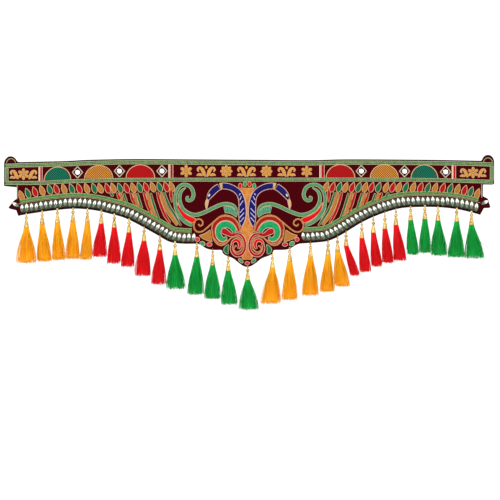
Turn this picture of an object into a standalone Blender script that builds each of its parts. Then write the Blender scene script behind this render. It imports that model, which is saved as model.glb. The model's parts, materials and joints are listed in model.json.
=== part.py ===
# A toran: a stiffened velvet hanging that goes over a doorway. It carries braid, brocade domes, round
# mirrors in diamond cords, a row of stones, a pair of birds with scrolls, and thirty thread tassels.
#
# It hangs upright in the XZ plane, with its flat back on the plane Y = 0 and its front towards -Y.
# The origin is on the back at the middle of the top edge. Every table is in millimetres: "x" runs to the
# right as seen from the front, and "drop" is how far a point lies below the origin. In the tables of the
# middle ornament "out" is the distance to either side of the ornament's own middle line.

import math

import bmesh
import bpy
from mathutils import Matrix, Vector

MM = 0.001

BOARD_THICKNESS = 3.0
SEAT_GAP = 0.3
SIDE_GAP = 0.5
PATCH_THICKNESS = 1.2
BRAID_THICKNESS = 1.4
BRAID_WIDTH = 7.2
BRAID_BELOW_TOP_EDGE = 5.6
BRAID_ABOVE_HEM = 28.0
END_BRAID_WIDTH = 6.6
BAR_HALF_LENGTH = 487.6
BAR_END_FALL = 1.0
HEM_BRAID_OUTER_END = 458.0
HEM_BRAID_INNER_END = 119.0
ORNAMENT_MIDDLE_X = -4.0

STONE_PITCH = 10.0
STONE_ROW_ABOVE_HEM = 12.6
STONE_ROW_WIDTH = 17.6
STONE_ROW_OUTER_END = 454.0
STONE_ROW_INNER_END = 112.0
STONE_BACKING = 0.8
STONE_HEIGHT = 1.7
STONE_INSET = 1.3

MIRROR_HALF_WIDTH = 10.4
MIRROR_HALF_HEIGHT = 11.8
MIRROR_BEVEL = 0.8
MIRROR_RADIUS = 5.2
MIRROR_PROUD = 0.8
MIRROR_SIDES = 12

DOME_HEIGHT = 26.2
DOME_REACH = 14.0
DOME_ARC_STEPS = 16
SMOOTH_ANGLE = 40.0

TASSEL_SIDES = 10
SKIRT_ROOT_RADIUS = 4.3
LINK_RADIUS = 0.8
SEWN_BEAD_RADIUS = 2.1
SEWN_BEAD_ABOVE_HEM = 2.0
LOCK_GAP = 0.15
SKIRT_HALF_DEPTH = 8.0
SKIRT_FOOT_FORWARD = 4.2
TIP_UNEVENNESS = 3.0
TIP_TURN_PER_LOCK = 2.4
TIP_TURN_PER_TASSEL = 1.7

# radius, height over the cap's rim: cap, collar and bead of a tassel's head, up to its link
HEAD = (
    (4.8, 0.0),
    (2.7, 13.0),
    (1.8, 14.2),
    (1.8, 16.2),
    (2.6, 17.4),
    (3.2, 19.2),
    (2.6, 21.0),
    (0.8, 22.1),
)

# share of the skirt's length, of its spread and of its lean, for each ring of the locks below the cap
SKIRT_RINGS = (
    (0.5, 0.46, 0.40),
    (1.0, 1.0, 1.0),
)

# x, drop
TOP_EDGE = (
    (-461.0, 4.8),
    (-368.0, 2.6),
    (-334.0, 0.8),
    (-298.0, -0.4),
    (-230.0, -1.4),
    (-118.0, -0.8),
    (0.0, 0.0),
    (122.0, 0.8),
    (198.0, -0.8),
    (362.0, 0.2),
    (463.6, 2.2),
)

# middle x, middle drop, half width, height, first angle, last angle (degrees, anticlockwise from +X)
TAB_LEFT = (-476.8, 9.2, 13.2, 15.8, 180.0, 25.0)
TAB_RIGHT = (477.2, 5.0, 12.4, 14.4, 165.0, 0.0)

# left x, left drop, right x, right drop: from the bar's lower corner round the fish tail to the hem
END_CORNERS = (
    (-490.0, 52.2, 489.6, 49.2),
    (-464.6, 52.2, 467.2, 49.4),
    (-464.2, 78.2, 466.8, 73.4),
    (-470.8, 82.6, 476.8, 78.2),
    (-481.4, 96.8, 482.2, 95.8),
    (-465.4, 101.4, 469.2, 96.8),
)

# distance from the middle, drop on the left, drop on the right
HEM = (
    (462.0, 112.2, 110.2),
    (422.0, 105.8, 100.4),
    (384.0, 100.8, 95.6),
    (346.0, 98.2, 94.8),
    (308.0, 101.6, 96.6),
    (279.0, 108.2, 103.4),
    (250.0, 116.2, 113.8),
    (222.0, 129.4, 127.2),
    (182.0, 151.6, 151.4),
    (157.0, 165.2, 162.8),
    (127.0, 168.6, 166.4),
)

# out, drop: the outer lobe, then the inner lobe down to the tip
OUTER_LOBE = (
    (104.4, 168.2),
    (96.4, 171.4),
    (88.0, 176.6),
    (78.0, 180.0),
    (66.0, 180.8),
    (53.4, 181.2),
)
INNER_LOBE = (
    (53.4, 181.2),
    (51.0, 187.2),
    (44.0, 192.0),
    (36.0, 194.8),
    (28.0, 198.4),
    (20.0, 204.8),
    (10.0, 211.8),
    (0.0, 215.4),
)

# x, drop
MIDDLE_BRAID = (
    (-487.6, 46.8),
    (-440.0, 46.8),
    (-408.0, 46.2),
    (-368.0, 44.0),
    (-298.0, 41.6),
    (-238.0, 40.6),
    (0.0, 40.2),
    (300.0, 40.2),
    (380.0, 41.3),
    (472.0, 44.0),
    (487.6, 44.6),
)

# left side x, right side x
DIVIDERS = (
    (-420.8, -412.8),
    (-161.4, -151.4),
    (140.2, 151.0),
    (404.8, 413.4),
)

# middle x, half width, cloth
DOMES = (
    (-383.2, 26.6, "green_brocade"),
    (-300.8, 28.2, "gold_brocade"),
    (-217.4, 28.6, "red_brocade"),
    (182.4, 28.6, "red_brocade"),
    (269.8, 27.8, "gold_brocade"),
    (350.2, 26.6, "green_brocade"),
)

MIRROR_MIDDLES = (-343.0, -259.2, -174.4, 224.0, 310.4, 392.4)

# out, drop: right half of the gold patch on the middle line, from its top to its foot
FINIAL = (
    (10.0, 57.0),
    (10.2, 60.0),
    (5.6, 70.0),
    (1.8, 84.0),
    (0.9, 98.0),
    (1.0, 108.0),
    (3.4, 124.0),
    (8.4, 136.0),
    (10.4, 144.0),
    (7.6, 151.0),
    (1.8, 161.0),
    (1.2, 170.0),
    (2.6, 182.0),
    (6.6, 190.0),
    (9.2, 194.0),
    (5.0, 199.4),
)

# out, drop, width: a bird, from the tip of its tail up the neck, over the head and down the beak
BIRD = (
    (12.4, 134.6, 1.6),
    (11.4, 125.8, 10.2),
    (10.4, 116.0, 14.4),
    (9.8, 104.6, 15.4),
    (10.4, 88.6, 14.4),
    (12.8, 76.6, 12.8),
    (18.2, 66.2, 12.6),
    (27.0, 58.8, 12.4),
    (38.0, 54.2, 12.8),
    (48.0, 52.8, 13.4),
    (57.2, 54.4, 13.8),
    (64.4, 57.8, 13.8),
    (72.0, 64.6, 13.8),
    (77.6, 71.2, 12.0),
    (81.4, 77.4, 8.4),
    (83.4, 84.0, 6.2),
    (84.4, 90.4, 5.6),
    (84.8, 97.0, 2.0),
)

# out, drop: outline of a padded scroll patch, round its three parts
SCROLL_ARCH = (
    (14.2, 148.0),
    (17.6, 136.0),
    (22.6, 124.0),
    (27.0, 116.0),
    (35.0, 110.4),
    (46.6, 108.2),
    (56.6, 110.8),
    (66.6, 117.8),
    (76.6, 126.4),
    (86.0, 133.4),
)
SCROLL_CURL = (
    (86.0, 133.4),
    (91.0, 122.0),
    (101.0, 116.8),
    (111.0, 121.0),
    (115.0, 131.0),
    (112.0, 142.0),
    (97.2, 152.0),
)
SCROLL_FOOT = (
    (97.2, 152.0),
    (84.0, 159.6),
    (74.8, 164.8),
    (66.0, 171.0),
    (54.0, 176.4),
    (42.8, 172.8),
)
SCROLL_SPIRAL = (
    (42.8, 172.8),
    (37.0, 180.0),
    (30.5, 191.0),
    (20.0, 195.4),
    (10.4, 190.0),
    (4.4, 178.0),
    (4.4, 164.0),
    (8.6, 153.6),
    (14.2, 148.0),
)

# x of the cap, drop of the cap's rim, left and right side of the foot, drop of the foot, thread
TASSELS = (
    (-445.0, 136.0, -465.0, -424.5, 206.5, "yellow"),
    (-413.5, 130.0, -423.0, -394.5, 203.0, "yellow"),
    (-383.0, 126.0, -393.0, -367.5, 200.0, "yellow"),
    (-352.0, 125.0, -366.5, -338.5, 198.5, "yellow"),
    (-323.0, 126.0, -337.5, -314.0, 199.5, "yellow"),
    (-295.5, 128.5, -312.5, -284.5, 193.5, "red"),
    (-269.5, 136.0, -283.5, -256.5, 207.0, "red"),
    (-240.0, 146.0, -255.5, -229.5, 213.5, "red"),
    (-210.0, 163.0, -228.5, -196.0, 232.0, "red"),
    (-178.5, 181.0, -195.0, -166.5, 249.0, "red"),
    (-148.0, 191.5, -165.5, -127.5, 258.0, "green"),
    (-104.5, 195.0, -123.0, -91.0, 269.0, "green"),
    (-73.0, 211.5, -90.0, -57.0, 278.0, "green"),
    (-42.0, 222.0, -56.0, -23.0, 289.0, "green"),
    (-3.0, 240.5, -20.0, 19.0, 299.5, "green"),
    (46.5, 217.0, 23.0, 64.0, 287.5, "yellow"),
    (81.0, 203.5, 65.0, 95.5, 280.0, "yellow"),
    (122.5, 195.0, 105.5, 138.0, 271.0, "yellow"),
    (157.5, 191.0, 141.5, 169.5, 264.0, "yellow"),
    (176.5, 183.5, 170.5, 201.0, 253.0, "yellow"),
    (193.5, 172.5, 202.0, 220.0, 231.0, "red"),
    (225.0, 157.0, 221.0, 243.0, 224.0, "red"),
    (248.0, 146.5, 244.0, 265.0, 213.0, "red"),
    (271.0, 139.0, 266.0, 288.0, 206.0, "red"),
    (293.0, 131.0, 289.0, 314.0, 201.5, "red"),
    (322.5, 121.5, 315.0, 338.0, 189.5, "green"),
    (351.0, 119.0, 339.0, 362.0, 186.0, "green"),
    (377.0, 122.0, 363.0, 395.5, 191.5, "green"),
    (414.5, 124.5, 396.5, 429.0, 195.0, "green"),
    (444.0, 130.5, 430.0, 469.5, 197.0, "green"),
)

# red, green, blue, roughness, metallic
FINISHES = {
    "maroon_velvet": (0.060, 0.002, 0.006, 0.9, 0.0),
    "green_braid": (0.070, 0.260, 0.060, 0.6, 0.0),
    "red_satin": (0.420, 0.010, 0.012, 0.5, 0.0),
    "gold_satin": (0.500, 0.220, 0.035, 0.5, 0.1),
    "blue_satin": (0.012, 0.010, 0.160, 0.5, 0.0),
    "green_brocade": (0.006, 0.110, 0.055, 0.6, 0.1),
    "gold_brocade": (0.480, 0.230, 0.050, 0.5, 0.3),
    "red_brocade": (0.330, 0.010, 0.020, 0.6, 0.1),
    "mirror_work": (0.800, 0.800, 0.800, 0.1, 0.9),
    "stone_trim": (0.850, 0.850, 0.780, 0.2, 0.0),
    "yellow_thread": (1.000, 0.380, 0.008, 0.6, 0.0),
    "red_thread": (0.750, 0.003, 0.005, 0.6, 0.0),
    "green_thread": (0.003, 0.300, 0.040, 0.6, 0.0),
}


def finish(name):
    """The material of one finish, made once."""
    material = bpy.data.materials.get(name)
    if material is None:
        red, green, blue, roughness, metallic = FINISHES[name]
        material = bpy.data.materials.new(name)
        material.use_nodes = True
        shader = material.node_tree.nodes["Principled BSDF"]
        shader.inputs["Base Color"].default_value = (red, green, blue, 1.0)
        shader.inputs["Roughness"].default_value = roughness
        shader.inputs["Metallic"].default_value = metallic
    return material


def smooth_run(points, steps):
    """Points on a smooth curve through the rows, with the given steps between two rows."""
    rows = [Vector(point) for point in points]
    run = []
    for index in range(len(rows) - 1):
        before = rows[max(index - 1, 0)]
        start = rows[index]
        end = rows[index + 1]
        after = rows[min(index + 2, len(rows) - 1)]
        for step in range(steps):
            t = step / steps
            slope_in = (end - before) * 0.5
            slope_out = (after - start) * 0.5
            bend = (end - start) * 3 - slope_in * 2 - slope_out
            turn = (start - end) * 2 + slope_in + slope_out
            run.append(start + slope_in * t + bend * t * t + turn * t * t * t)
    run.append(rows[-1])
    return run


def drop_at(run, x):
    """The drop of a run of points at one x, read between its two nearest points."""
    ordered = sorted(run, key=lambda point: point[0])
    for left, right in zip(ordered, ordered[1:]):
        if left[0] <= x <= right[0]:
            share = (x - left[0]) / max(right[0] - left[0], 1e-9)
            return left[1] + (right[1] - left[1]) * share
    return ordered[0][1] if x < ordered[0][0] else ordered[-1][1]


def part_of(run, low_x, high_x):
    """The points of a run between two values of x, with an end point made on each."""
    inside = [Vector((p[0], p[1])) for p in run if low_x < p[0] < high_x]
    inside.sort(key=lambda point: point[0])
    first = Vector((low_x, drop_at(run, low_x)))
    last = Vector((high_x, drop_at(run, high_x)))
    return [first] + inside + [last]


def normals_of(run):
    """The unit normal of a run at each of its points, to the left of its direction."""
    normals = []
    for index in range(len(run)):
        before = run[max(index - 1, 0)]
        after = run[min(index + 1, len(run) - 1)]
        along = (Vector(after[:2]) - Vector(before[:2])).normalized()
        normals.append(Vector((-along[1], along[0])))
    return normals


def moved_up(run, distance):
    """A run moved square to itself by a distance, towards the top edge."""
    moved = []
    for point, normal in zip(run, normals_of(run)):
        upward = normal if normal[1] < 0 else -normal
        moved.append(Vector(point[:2]) + upward * distance)
    return moved


def ribbon(run, width):
    """The closed outline of a strip along a run. The width is one number, or one for each point."""
    widths = width if isinstance(width, list) else [width] * len(run)
    left = []
    right = []
    for point, normal, across in zip(run, normals_of(run), widths):
        middle = Vector(point[:2])
        left.append(middle + normal * across / 2)
        right.append(middle - normal * across / 2)
    return left + right[::-1]


def arc(middle_x, middle_drop, half_width, height, first, last, steps):
    """Points on part of an ellipse, by angle in degrees, anticlockwise from +X."""
    points = []
    for step in range(steps + 1):
        angle = math.radians(first + (last - first) * step / steps)
        x = middle_x + half_width * math.cos(angle)
        drop = middle_drop - height * math.sin(angle)
        points.append(Vector((x, drop)))
    return points


def ornament_side(points, side):
    """Rows of the middle ornament as x and drop, on the left (-1) or the right (1)."""
    return [Vector((ORNAMENT_MIDDLE_X + side * point[0], *point[1:])) for point in points]


def keep(name, mesh, finish_name):
    """A named object in the toran's collection, with its finish."""
    mesh.shade_smooth()
    mesh.set_sharp_from_angle(angle=math.radians(SMOOTH_ANGLE))
    piece = bpy.data.objects.new(name, mesh)
    if not mesh.materials:
        mesh.materials.append(finish(finish_name))
    toran.objects.link(piece)
    return piece


def plate(name, outline, thickness, back_gap, finish_name):
    """A flat piece: an outline of x and drop, filled and extruded, and lying that far in front of Y = 0."""
    curve = bpy.data.curves.new(name, "CURVE")
    curve.dimensions = "2D"
    curve.fill_mode = "BOTH"
    curve.extrude = thickness * MM / 2
    spline = curve.splines.new("POLY")
    spline.points.add(len(outline) - 1)
    for point, spot in zip(spline.points, outline):
        point.co = (spot[0] * MM, -spot[1] * MM, 0.0, 1.0)
    spline.use_cyclic_u = True
    drawn = bpy.data.objects.new(name + "_outline", curve)
    bpy.context.scene.collection.objects.link(drawn)
    drawn.rotation_euler = (math.pi / 2, 0.0, 0.0)
    drawn.location = (0.0, -(back_gap + thickness / 2) * MM, 0.0)
    bpy.context.view_layer.update()
    evaluated = drawn.evaluated_get(bpy.context.evaluated_depsgraph_get())
    mesh = bpy.data.meshes.new_from_object(evaluated)
    mesh.transform(drawn.matrix_world)
    bpy.data.objects.remove(drawn)
    bm = bmesh.new()
    bm.from_mesh(mesh)
    bmesh.ops.remove_doubles(bm, verts=bm.verts, dist=0.000001)
    bmesh.ops.recalc_face_normals(bm, faces=bm.faces)
    bm.to_mesh(mesh)
    bm.free()
    mesh.name = name
    return keep(name, mesh, finish_name)


def make_board():
    """The stiffened velvet panel, cut in one with its tabs, fish tails and lobes."""
    outline = [Vector(END_CORNERS[0][:2])]
    outline += arc(*TAB_LEFT, 9)
    outline += top_edge
    outline += arc(*TAB_RIGHT, 9)
    outline += [Vector(row[2:]) for row in END_CORNERS]
    outline += hem_right
    outline += smooth_run(ornament_side(OUTER_LOBE, 1), 2)
    outline += smooth_run(ornament_side(INNER_LOBE, 1), 2)[1:]
    outline += smooth_run(ornament_side(INNER_LOBE, -1), 2)[::-1][1:]
    outline += smooth_run(ornament_side(OUTER_LOBE, -1), 2)[::-1][1:]
    outline += hem_left[::-1]
    outline += [Vector(row[:2]) for row in END_CORNERS[:0:-1]]
    plate("board", outline, BOARD_THICKNESS, 0.0, "maroon_velvet")


def make_braids():
    """Braid along the top edge, under the windows, at the two ends and above the scalloped hem."""
    front = BOARD_THICKNESS + SEAT_GAP
    upper = [Vector(point[:2]) + Vector((0.0, BRAID_BELOW_TOP_EDGE)) for point in top_edge]
    left_end = Vector((-BAR_HALF_LENGTH, upper[0][1] + BAR_END_FALL))
    right_end = Vector((BAR_HALF_LENGTH, upper[-1][1] + BAR_END_FALL))
    upper = [left_end] + upper + [right_end]
    plate("braid_top", ribbon(upper, BRAID_WIDTH), BRAID_THICKNESS, front, "green_braid")
    plate("braid_middle", ribbon(middle_braid, BRAID_WIDTH), BRAID_THICKNESS, front, "green_braid")
    clear = BRAID_WIDTH / 2 + SIDE_GAP
    for side, name in ((-1, "braid_end_left"), (1, "braid_end_right")):
        outer = side * BAR_HALF_LENGTH
        inner = side * (BAR_HALF_LENGTH - END_BRAID_WIDTH)
        high = max(drop_at(upper, outer), drop_at(upper, inner)) + clear
        low = min(drop_at(middle_braid, outer), drop_at(middle_braid, inner)) - clear
        corners = ((outer, low), (outer, high), (inner, high), (inner, low))
        plate(name, [Vector(corner) for corner in corners], BRAID_THICKNESS, front, "green_braid")
    for side, name, hem in ((-1, "braid_hem_left", hem_left), (1, "braid_hem_right", hem_right)):
        line = moved_up(hem, BRAID_ABOVE_HEM)
        inner = ORNAMENT_MIDDLE_X + side * HEM_BRAID_INNER_END
        outer = side * HEM_BRAID_OUTER_END
        line = part_of(line, min(outer, inner), max(outer, inner))
        plate(name, ribbon(line, BRAID_WIDTH), BRAID_THICKNESS, front, "green_braid")
    return upper


def window(upper, x):
    """The highest and lowest drop left free between the top braid and the middle braid at one x."""
    clear = BRAID_WIDTH / 2 + SIDE_GAP
    return drop_at(upper, x) + clear, drop_at(middle_braid, x) - clear


def make_dividers(upper):
    """Upright strips that part the bar into windows."""
    for number, (left_x, right_x) in enumerate(DIVIDERS, 1):
        left_high, left_low = window(upper, left_x)
        right_high, right_low = window(upper, right_x)
        outline = [
            Vector((left_x, left_low)),
            Vector((left_x, left_high)),
            Vector((right_x, right_high)),
            Vector((right_x, right_low)),
        ]
        plate(f"divider_{number}", outline, PATCH_THICKNESS, BOARD_THICKNESS + SEAT_GAP, "red_satin")


def make_domes(upper):
    """Half-round brocade patches that stand on the middle braid, each leaning as the braid does there."""
    for number, (middle_x, half_width, cloth) in enumerate(DOMES, 1):
        low_left = window(upper, middle_x - half_width)[1]
        low_right = window(upper, middle_x + half_width)[1]
        low = (low_left + low_right) / 2
        lean = (low_right - low_left) / (2 * half_width)
        bow = 0.0
        for reach in (-DOME_REACH, 0.0, DOME_REACH):
            bow = min(bow, window(upper, middle_x + reach)[1] - low - lean * reach)
        low += bow
        outline = []
        for point in arc(0.0, 0.0, half_width, DOME_HEIGHT, 0.0, 180.0, DOME_ARC_STEPS):
            outline.append(Vector((middle_x + point[0], low + point[1] + lean * point[0])))
        plate(f"dome_{number}", outline, PATCH_THICKNESS, BOARD_THICKNESS + SEAT_GAP, cloth)


def mirror_mesh():
    """A diamond frame with a round mirror standing on it, joined into one body."""
    bpy.ops.mesh.primitive_cone_add(
        vertices=4,
        radius1=MIRROR_HALF_WIDTH * MM,
        radius2=(MIRROR_HALF_WIDTH - MIRROR_BEVEL) * MM,
        depth=PATCH_THICKNESS * MM,
    )
    frame = bpy.context.object
    bpy.ops.mesh.primitive_cylinder_add(
        vertices=MIRROR_SIDES,
        radius=MIRROR_RADIUS * MM,
        depth=PATCH_THICKNESS * MM,
        location=(0.0, 0.0, MIRROR_PROUD * MM),
    )
    disc = bpy.context.object
    joint = frame.modifiers.new("join mirror", "BOOLEAN")
    joint.operation = "UNION"
    joint.object = disc
    evaluated = frame.evaluated_get(bpy.context.evaluated_depsgraph_get())
    mesh = bpy.data.meshes.new_from_object(evaluated)
    bpy.data.objects.remove(frame)
    bpy.data.objects.remove(disc)
    stretch = Matrix.Diagonal((1.0, MIRROR_HALF_HEIGHT / MIRROR_HALF_WIDTH, 1.0, 1.0))
    mesh.transform(Matrix.Rotation(math.pi / 2, 4, "X") @ stretch)
    mesh.name = "mirror_work"
    return mesh


def make_mirrors(upper):
    """A diamond with its mirror between each two domes and beside the dividers."""
    mesh = mirror_mesh()
    back = BOARD_THICKNESS + SEAT_GAP + PATCH_THICKNESS / 2
    for number, middle_x in enumerate(MIRROR_MIDDLES, 1):
        high, low = window(upper, middle_x)
        piece = keep(f"mirror_{number}", mesh, "mirror_work")
        piece.location = (middle_x * MM, -back * MM, -(high + low) / 2 * MM)


def make_stones(name, hem, side):
    """A strip of stones along one side of the hem: each cell of the strip rises to a flat-topped stone."""
    line = moved_up(hem, STONE_ROW_ABOVE_HEM)
    inner = ORNAMENT_MIDDLE_X + side * STONE_ROW_INNER_END
    outer = side * STONE_ROW_OUTER_END
    line = part_of(line, min(outer, inner), max(outer, inner))
    lengths = [0.0]
    for start, end in zip(line, line[1:]):
        lengths.append(lengths[-1] + (end - start).length)
    count = round(lengths[-1] / STONE_PITCH)
    spots = []
    for number in range(count + 1):
        wanted = lengths[-1] * number / count
        at = max(index for index in range(len(lengths)) if lengths[index] <= wanted + 1e-6)
        at = min(at, len(line) - 2)
        share = (wanted - lengths[at]) / (lengths[at + 1] - lengths[at])
        spots.append(line[at].lerp(line[at + 1], share))
    bm = bmesh.new()
    front = -(BOARD_THICKNESS + SEAT_GAP + STONE_BACKING)
    rails = []
    for spot, normal in zip(spots, normals_of(spots)):
        pair = []
        for half in (STONE_ROW_WIDTH / 2, -STONE_ROW_WIDTH / 2):
            edge = spot + normal * half
            pair.append(bm.verts.new((edge[0] * MM, front * MM, -edge[1] * MM)))
        rails.append(pair)
    cells = []
    for first, second in zip(rails, rails[1:]):
        cells.append(bm.faces.new((first[0], first[1], second[1], second[0])))
    bm.normal_update()
    if cells[0].normal.y > 0:
        bmesh.ops.reverse_faces(bm, faces=cells)
    rim = [edge for edge in bm.edges if edge.is_boundary]
    skirt = bmesh.ops.extrude_edge_only(bm, edges=rim)["geom"]
    low = [item for item in skirt if isinstance(item, bmesh.types.BMVert)]
    bmesh.ops.translate(bm, verts=low, vec=(0.0, STONE_BACKING * MM, 0.0))
    loop = [item for item in skirt if isinstance(item, bmesh.types.BMEdge) and item.is_boundary]
    bmesh.ops.contextual_create(bm, geom=loop)
    bmesh.ops.recalc_face_normals(bm, faces=bm.faces)
    bmesh.ops.inset_individual(bm, faces=cells, thickness=STONE_INSET * MM, depth=STONE_HEIGHT * MM)
    mesh = bpy.data.meshes.new(name)
    bm.to_mesh(mesh)
    bm.free()
    keep(name, mesh, "stone_trim")


def make_finial():
    """The gold patch on the ornament's middle line, with a waist above and below its belly."""
    right = smooth_run(ornament_side(FINIAL, 1), 2)
    left = smooth_run(ornament_side(FINIAL, -1), 2)
    plate("finial", right + left[::-1], PATCH_THICKNESS, BOARD_THICKNESS + SEAT_GAP, "gold_satin")


def make_birds():
    """Two birds back to back: a long neck that arches over into a head and a beak."""
    for side, name in ((-1, "bird_left"), (1, "bird_right")):
        rows = smooth_run(ornament_side(BIRD, side), 2)
        outline = ribbon(rows, [row[2] for row in rows])
        plate(name, outline, PATCH_THICKNESS, BOARD_THICKNESS + SEAT_GAP, "blue_satin")


def make_scrolls():
    """A padded scroll patch on each side: an arch that ends in a curl, and a spiral under it."""
    for side, name in ((-1, "scroll_left"), (1, "scroll_right")):
        outline = []
        for section in (SCROLL_ARCH, SCROLL_CURL, SCROLL_FOOT, SCROLL_SPIRAL):
            outline += smooth_run(ornament_side(section, side), 2)[:-1]
        plate(name, outline, PATCH_THICKNESS, BOARD_THICKNESS + SEAT_GAP, "red_satin")


def head_profile(hang):
    """Radius and height over the cap's rim, from the middle of the skirt's root to the sewn bead's top."""
    sewn = hang + SEWN_BEAD_ABOVE_HEM
    root = ((0.0, 0.0), (SKIRT_ROOT_RADIUS, 0.0))
    link = ((LINK_RADIUS, sewn - SEWN_BEAD_RADIUS), (SEWN_BEAD_RADIUS, sewn), (0.0, sewn + SEWN_BEAD_RADIUS))
    return root + HEAD + link


def make_tassel(number, cap_x, rim_drop, foot_left, foot_right, foot_drop, thread):
    """A tassel: a turned head with cap, bead and sewn bead, and ten locks that grow from the cap's root."""
    hem_drop = drop_at(hem_line, cap_x)
    axis_depth = BOARD_THICKNESS + SEAT_GAP + SEWN_BEAD_RADIUS
    bm = bmesh.new()
    chain = []
    for radius, height in head_profile(rim_drop - hem_drop):
        chain.append(bm.verts.new((radius * MM, 0.0, height * MM)))
    sweep = chain + [bm.edges.new(pair) for pair in zip(chain, chain[1:])]
    bmesh.ops.spin(
        bm,
        geom=sweep,
        cent=(0, 0, 0),
        axis=(0, 0, 1),
        dvec=(0, 0, 0),
        angle=2 * math.pi,
        steps=TASSEL_SIDES,
        use_merge=True,
    )
    bmesh.ops.remove_doubles(bm, verts=bm.verts, dist=0.000001)
    bmesh.ops.recalc_face_normals(bm, faces=bm.faces)
    roots = []
    for face in bm.faces:
        reach = max(vert.co.xy.length for vert in face.verts)
        if abs(face.normal.z + 1) < 0.001 and reach < (SKIRT_ROOT_RADIUS + 0.1) * MM:
            roots.append(face)
    bmesh.ops.inset_individual(bm, faces=roots, thickness=LOCK_GAP * MM)
    foot_shift = (foot_left + foot_right) / 2 - cap_x
    foot_spread = (foot_right - foot_left) / 2 / SKIRT_ROOT_RADIUS
    foot_depth = SKIRT_HALF_DEPTH / SKIRT_ROOT_RADIUS
    length = foot_drop - rim_drop
    wide, deep, aside, forward = 1.0, 1.0, 0.0, 0.0
    for along, widening, leaning in SKIRT_RINGS:
        roots = bmesh.ops.extrude_discrete_faces(bm, faces=roots)["faces"]
        new_wide = 1 + (foot_spread - 1) * widening
        new_deep = 1 + (foot_depth - 1) * widening
        new_aside = foot_shift * leaning * MM
        new_forward = -SKIRT_FOOT_FORWARD * widening * MM
        for lock, face in enumerate(roots):
            turn = lock * TIP_TURN_PER_LOCK + number * TIP_TURN_PER_TASSEL
            uneven = TIP_UNEVENNESS * along * (1 + math.sin(turn)) / 2
            for vert in face.verts:
                vert.co.x = (vert.co.x - aside) / wide * new_wide + new_aside
                vert.co.y = (vert.co.y - forward) / deep * new_deep + new_forward
                vert.co.z = -(length * along - uneven) * MM
        wide, deep, aside, forward = new_wide, new_deep, new_aside, new_forward
    # a lock's sides wind a little, so they are split here and every use of them has the same flat faces
    bmesh.ops.triangulate(bm, faces=bm.faces)
    bmesh.ops.recalc_face_normals(bm, faces=bm.faces)
    bmesh.ops.translate(bm, verts=bm.verts, vec=(cap_x * MM, -axis_depth * MM, -rim_drop * MM))
    mesh = bpy.data.meshes.new(f"tassel_{number:02d}")
    bm.to_mesh(mesh)
    bm.free()
    keep(mesh.name, mesh, thread + "_thread")


for leftover in list(bpy.data.objects):
    bpy.data.objects.remove(leftover)

toran = bpy.data.collections.new("toran")
bpy.context.scene.collection.children.link(toran)

top_edge = smooth_run(TOP_EDGE, 2)
middle_braid = smooth_run(MIDDLE_BRAID, 2)
hem_left = smooth_run([(-row[0], row[1]) for row in HEM], 4)
hem_right = smooth_run([(row[0], row[2]) for row in HEM], 4)
hem_line = list(hem_left)
for lobe in (OUTER_LOBE, INNER_LOBE):
    hem_line += smooth_run(ornament_side(lobe, -1), 2)
    hem_line += smooth_run(ornament_side(lobe, 1), 2)
hem_line += hem_right

make_board()
top_braid = make_braids()
make_dividers(top_braid)
make_domes(top_braid)
make_mirrors(top_braid)
make_stones("stones_left", hem_left, -1)
make_stones("stones_right", hem_right, 1)
make_finial()
make_birds()
make_scrolls()
for tassel_number, tassel in enumerate(TASSELS, 1):
    make_tassel(tassel_number, *tassel)
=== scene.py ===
# %% [markdown]
# # A toran made of real pieces
# A toran is a stiffened velvet hanging that goes over a doorway. This script dresses the plain CAD model
# of one: it replaces each CAD node by a finer piece that hangs in the same place, and adds what is too
# small for the CAD. Every table below is in millimetres. "x" runs to the right as seen from the front,
# "drop" is how far a point lies below the middle of the top edge, and "proud" is how far it stands in
# front of the flat back.

import json
import math

import bmesh
import bpy
import numpy as np
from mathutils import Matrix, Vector

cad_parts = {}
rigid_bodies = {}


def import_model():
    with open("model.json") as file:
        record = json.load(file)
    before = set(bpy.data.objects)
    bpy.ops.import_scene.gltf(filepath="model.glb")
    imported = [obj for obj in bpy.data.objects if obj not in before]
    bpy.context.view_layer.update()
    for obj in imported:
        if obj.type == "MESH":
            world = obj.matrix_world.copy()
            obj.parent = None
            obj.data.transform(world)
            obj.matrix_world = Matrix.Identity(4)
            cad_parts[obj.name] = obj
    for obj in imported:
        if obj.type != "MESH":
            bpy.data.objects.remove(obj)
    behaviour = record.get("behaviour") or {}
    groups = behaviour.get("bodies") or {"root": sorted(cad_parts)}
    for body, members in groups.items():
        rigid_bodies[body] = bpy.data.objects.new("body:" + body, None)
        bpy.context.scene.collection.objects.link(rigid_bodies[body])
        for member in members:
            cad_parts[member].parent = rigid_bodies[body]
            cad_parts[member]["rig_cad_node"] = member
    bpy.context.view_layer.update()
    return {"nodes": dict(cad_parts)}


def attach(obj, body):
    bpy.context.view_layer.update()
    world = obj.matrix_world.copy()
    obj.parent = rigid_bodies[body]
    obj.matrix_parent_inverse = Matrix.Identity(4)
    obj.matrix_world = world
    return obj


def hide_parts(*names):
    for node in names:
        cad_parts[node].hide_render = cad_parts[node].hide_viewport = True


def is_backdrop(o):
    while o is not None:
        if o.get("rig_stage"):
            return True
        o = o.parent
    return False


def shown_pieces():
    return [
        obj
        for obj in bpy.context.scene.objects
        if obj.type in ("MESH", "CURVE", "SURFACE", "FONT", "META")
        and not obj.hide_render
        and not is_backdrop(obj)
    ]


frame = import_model()
MM = 0.001
chance = np.random.default_rng(7)
print("nodes:", len(frame["nodes"]))

# %% [markdown]
# ## Runs of points
# Everything sewn on a toran follows a line: braid follows the edge, cord follows a leaf, a feather sweeps
# down. So the first tools make lines. One draws a smooth line through a few measured points, and the
# other spaces points evenly along it, which keeps the ridges of a cord the same size round every bend.

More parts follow.
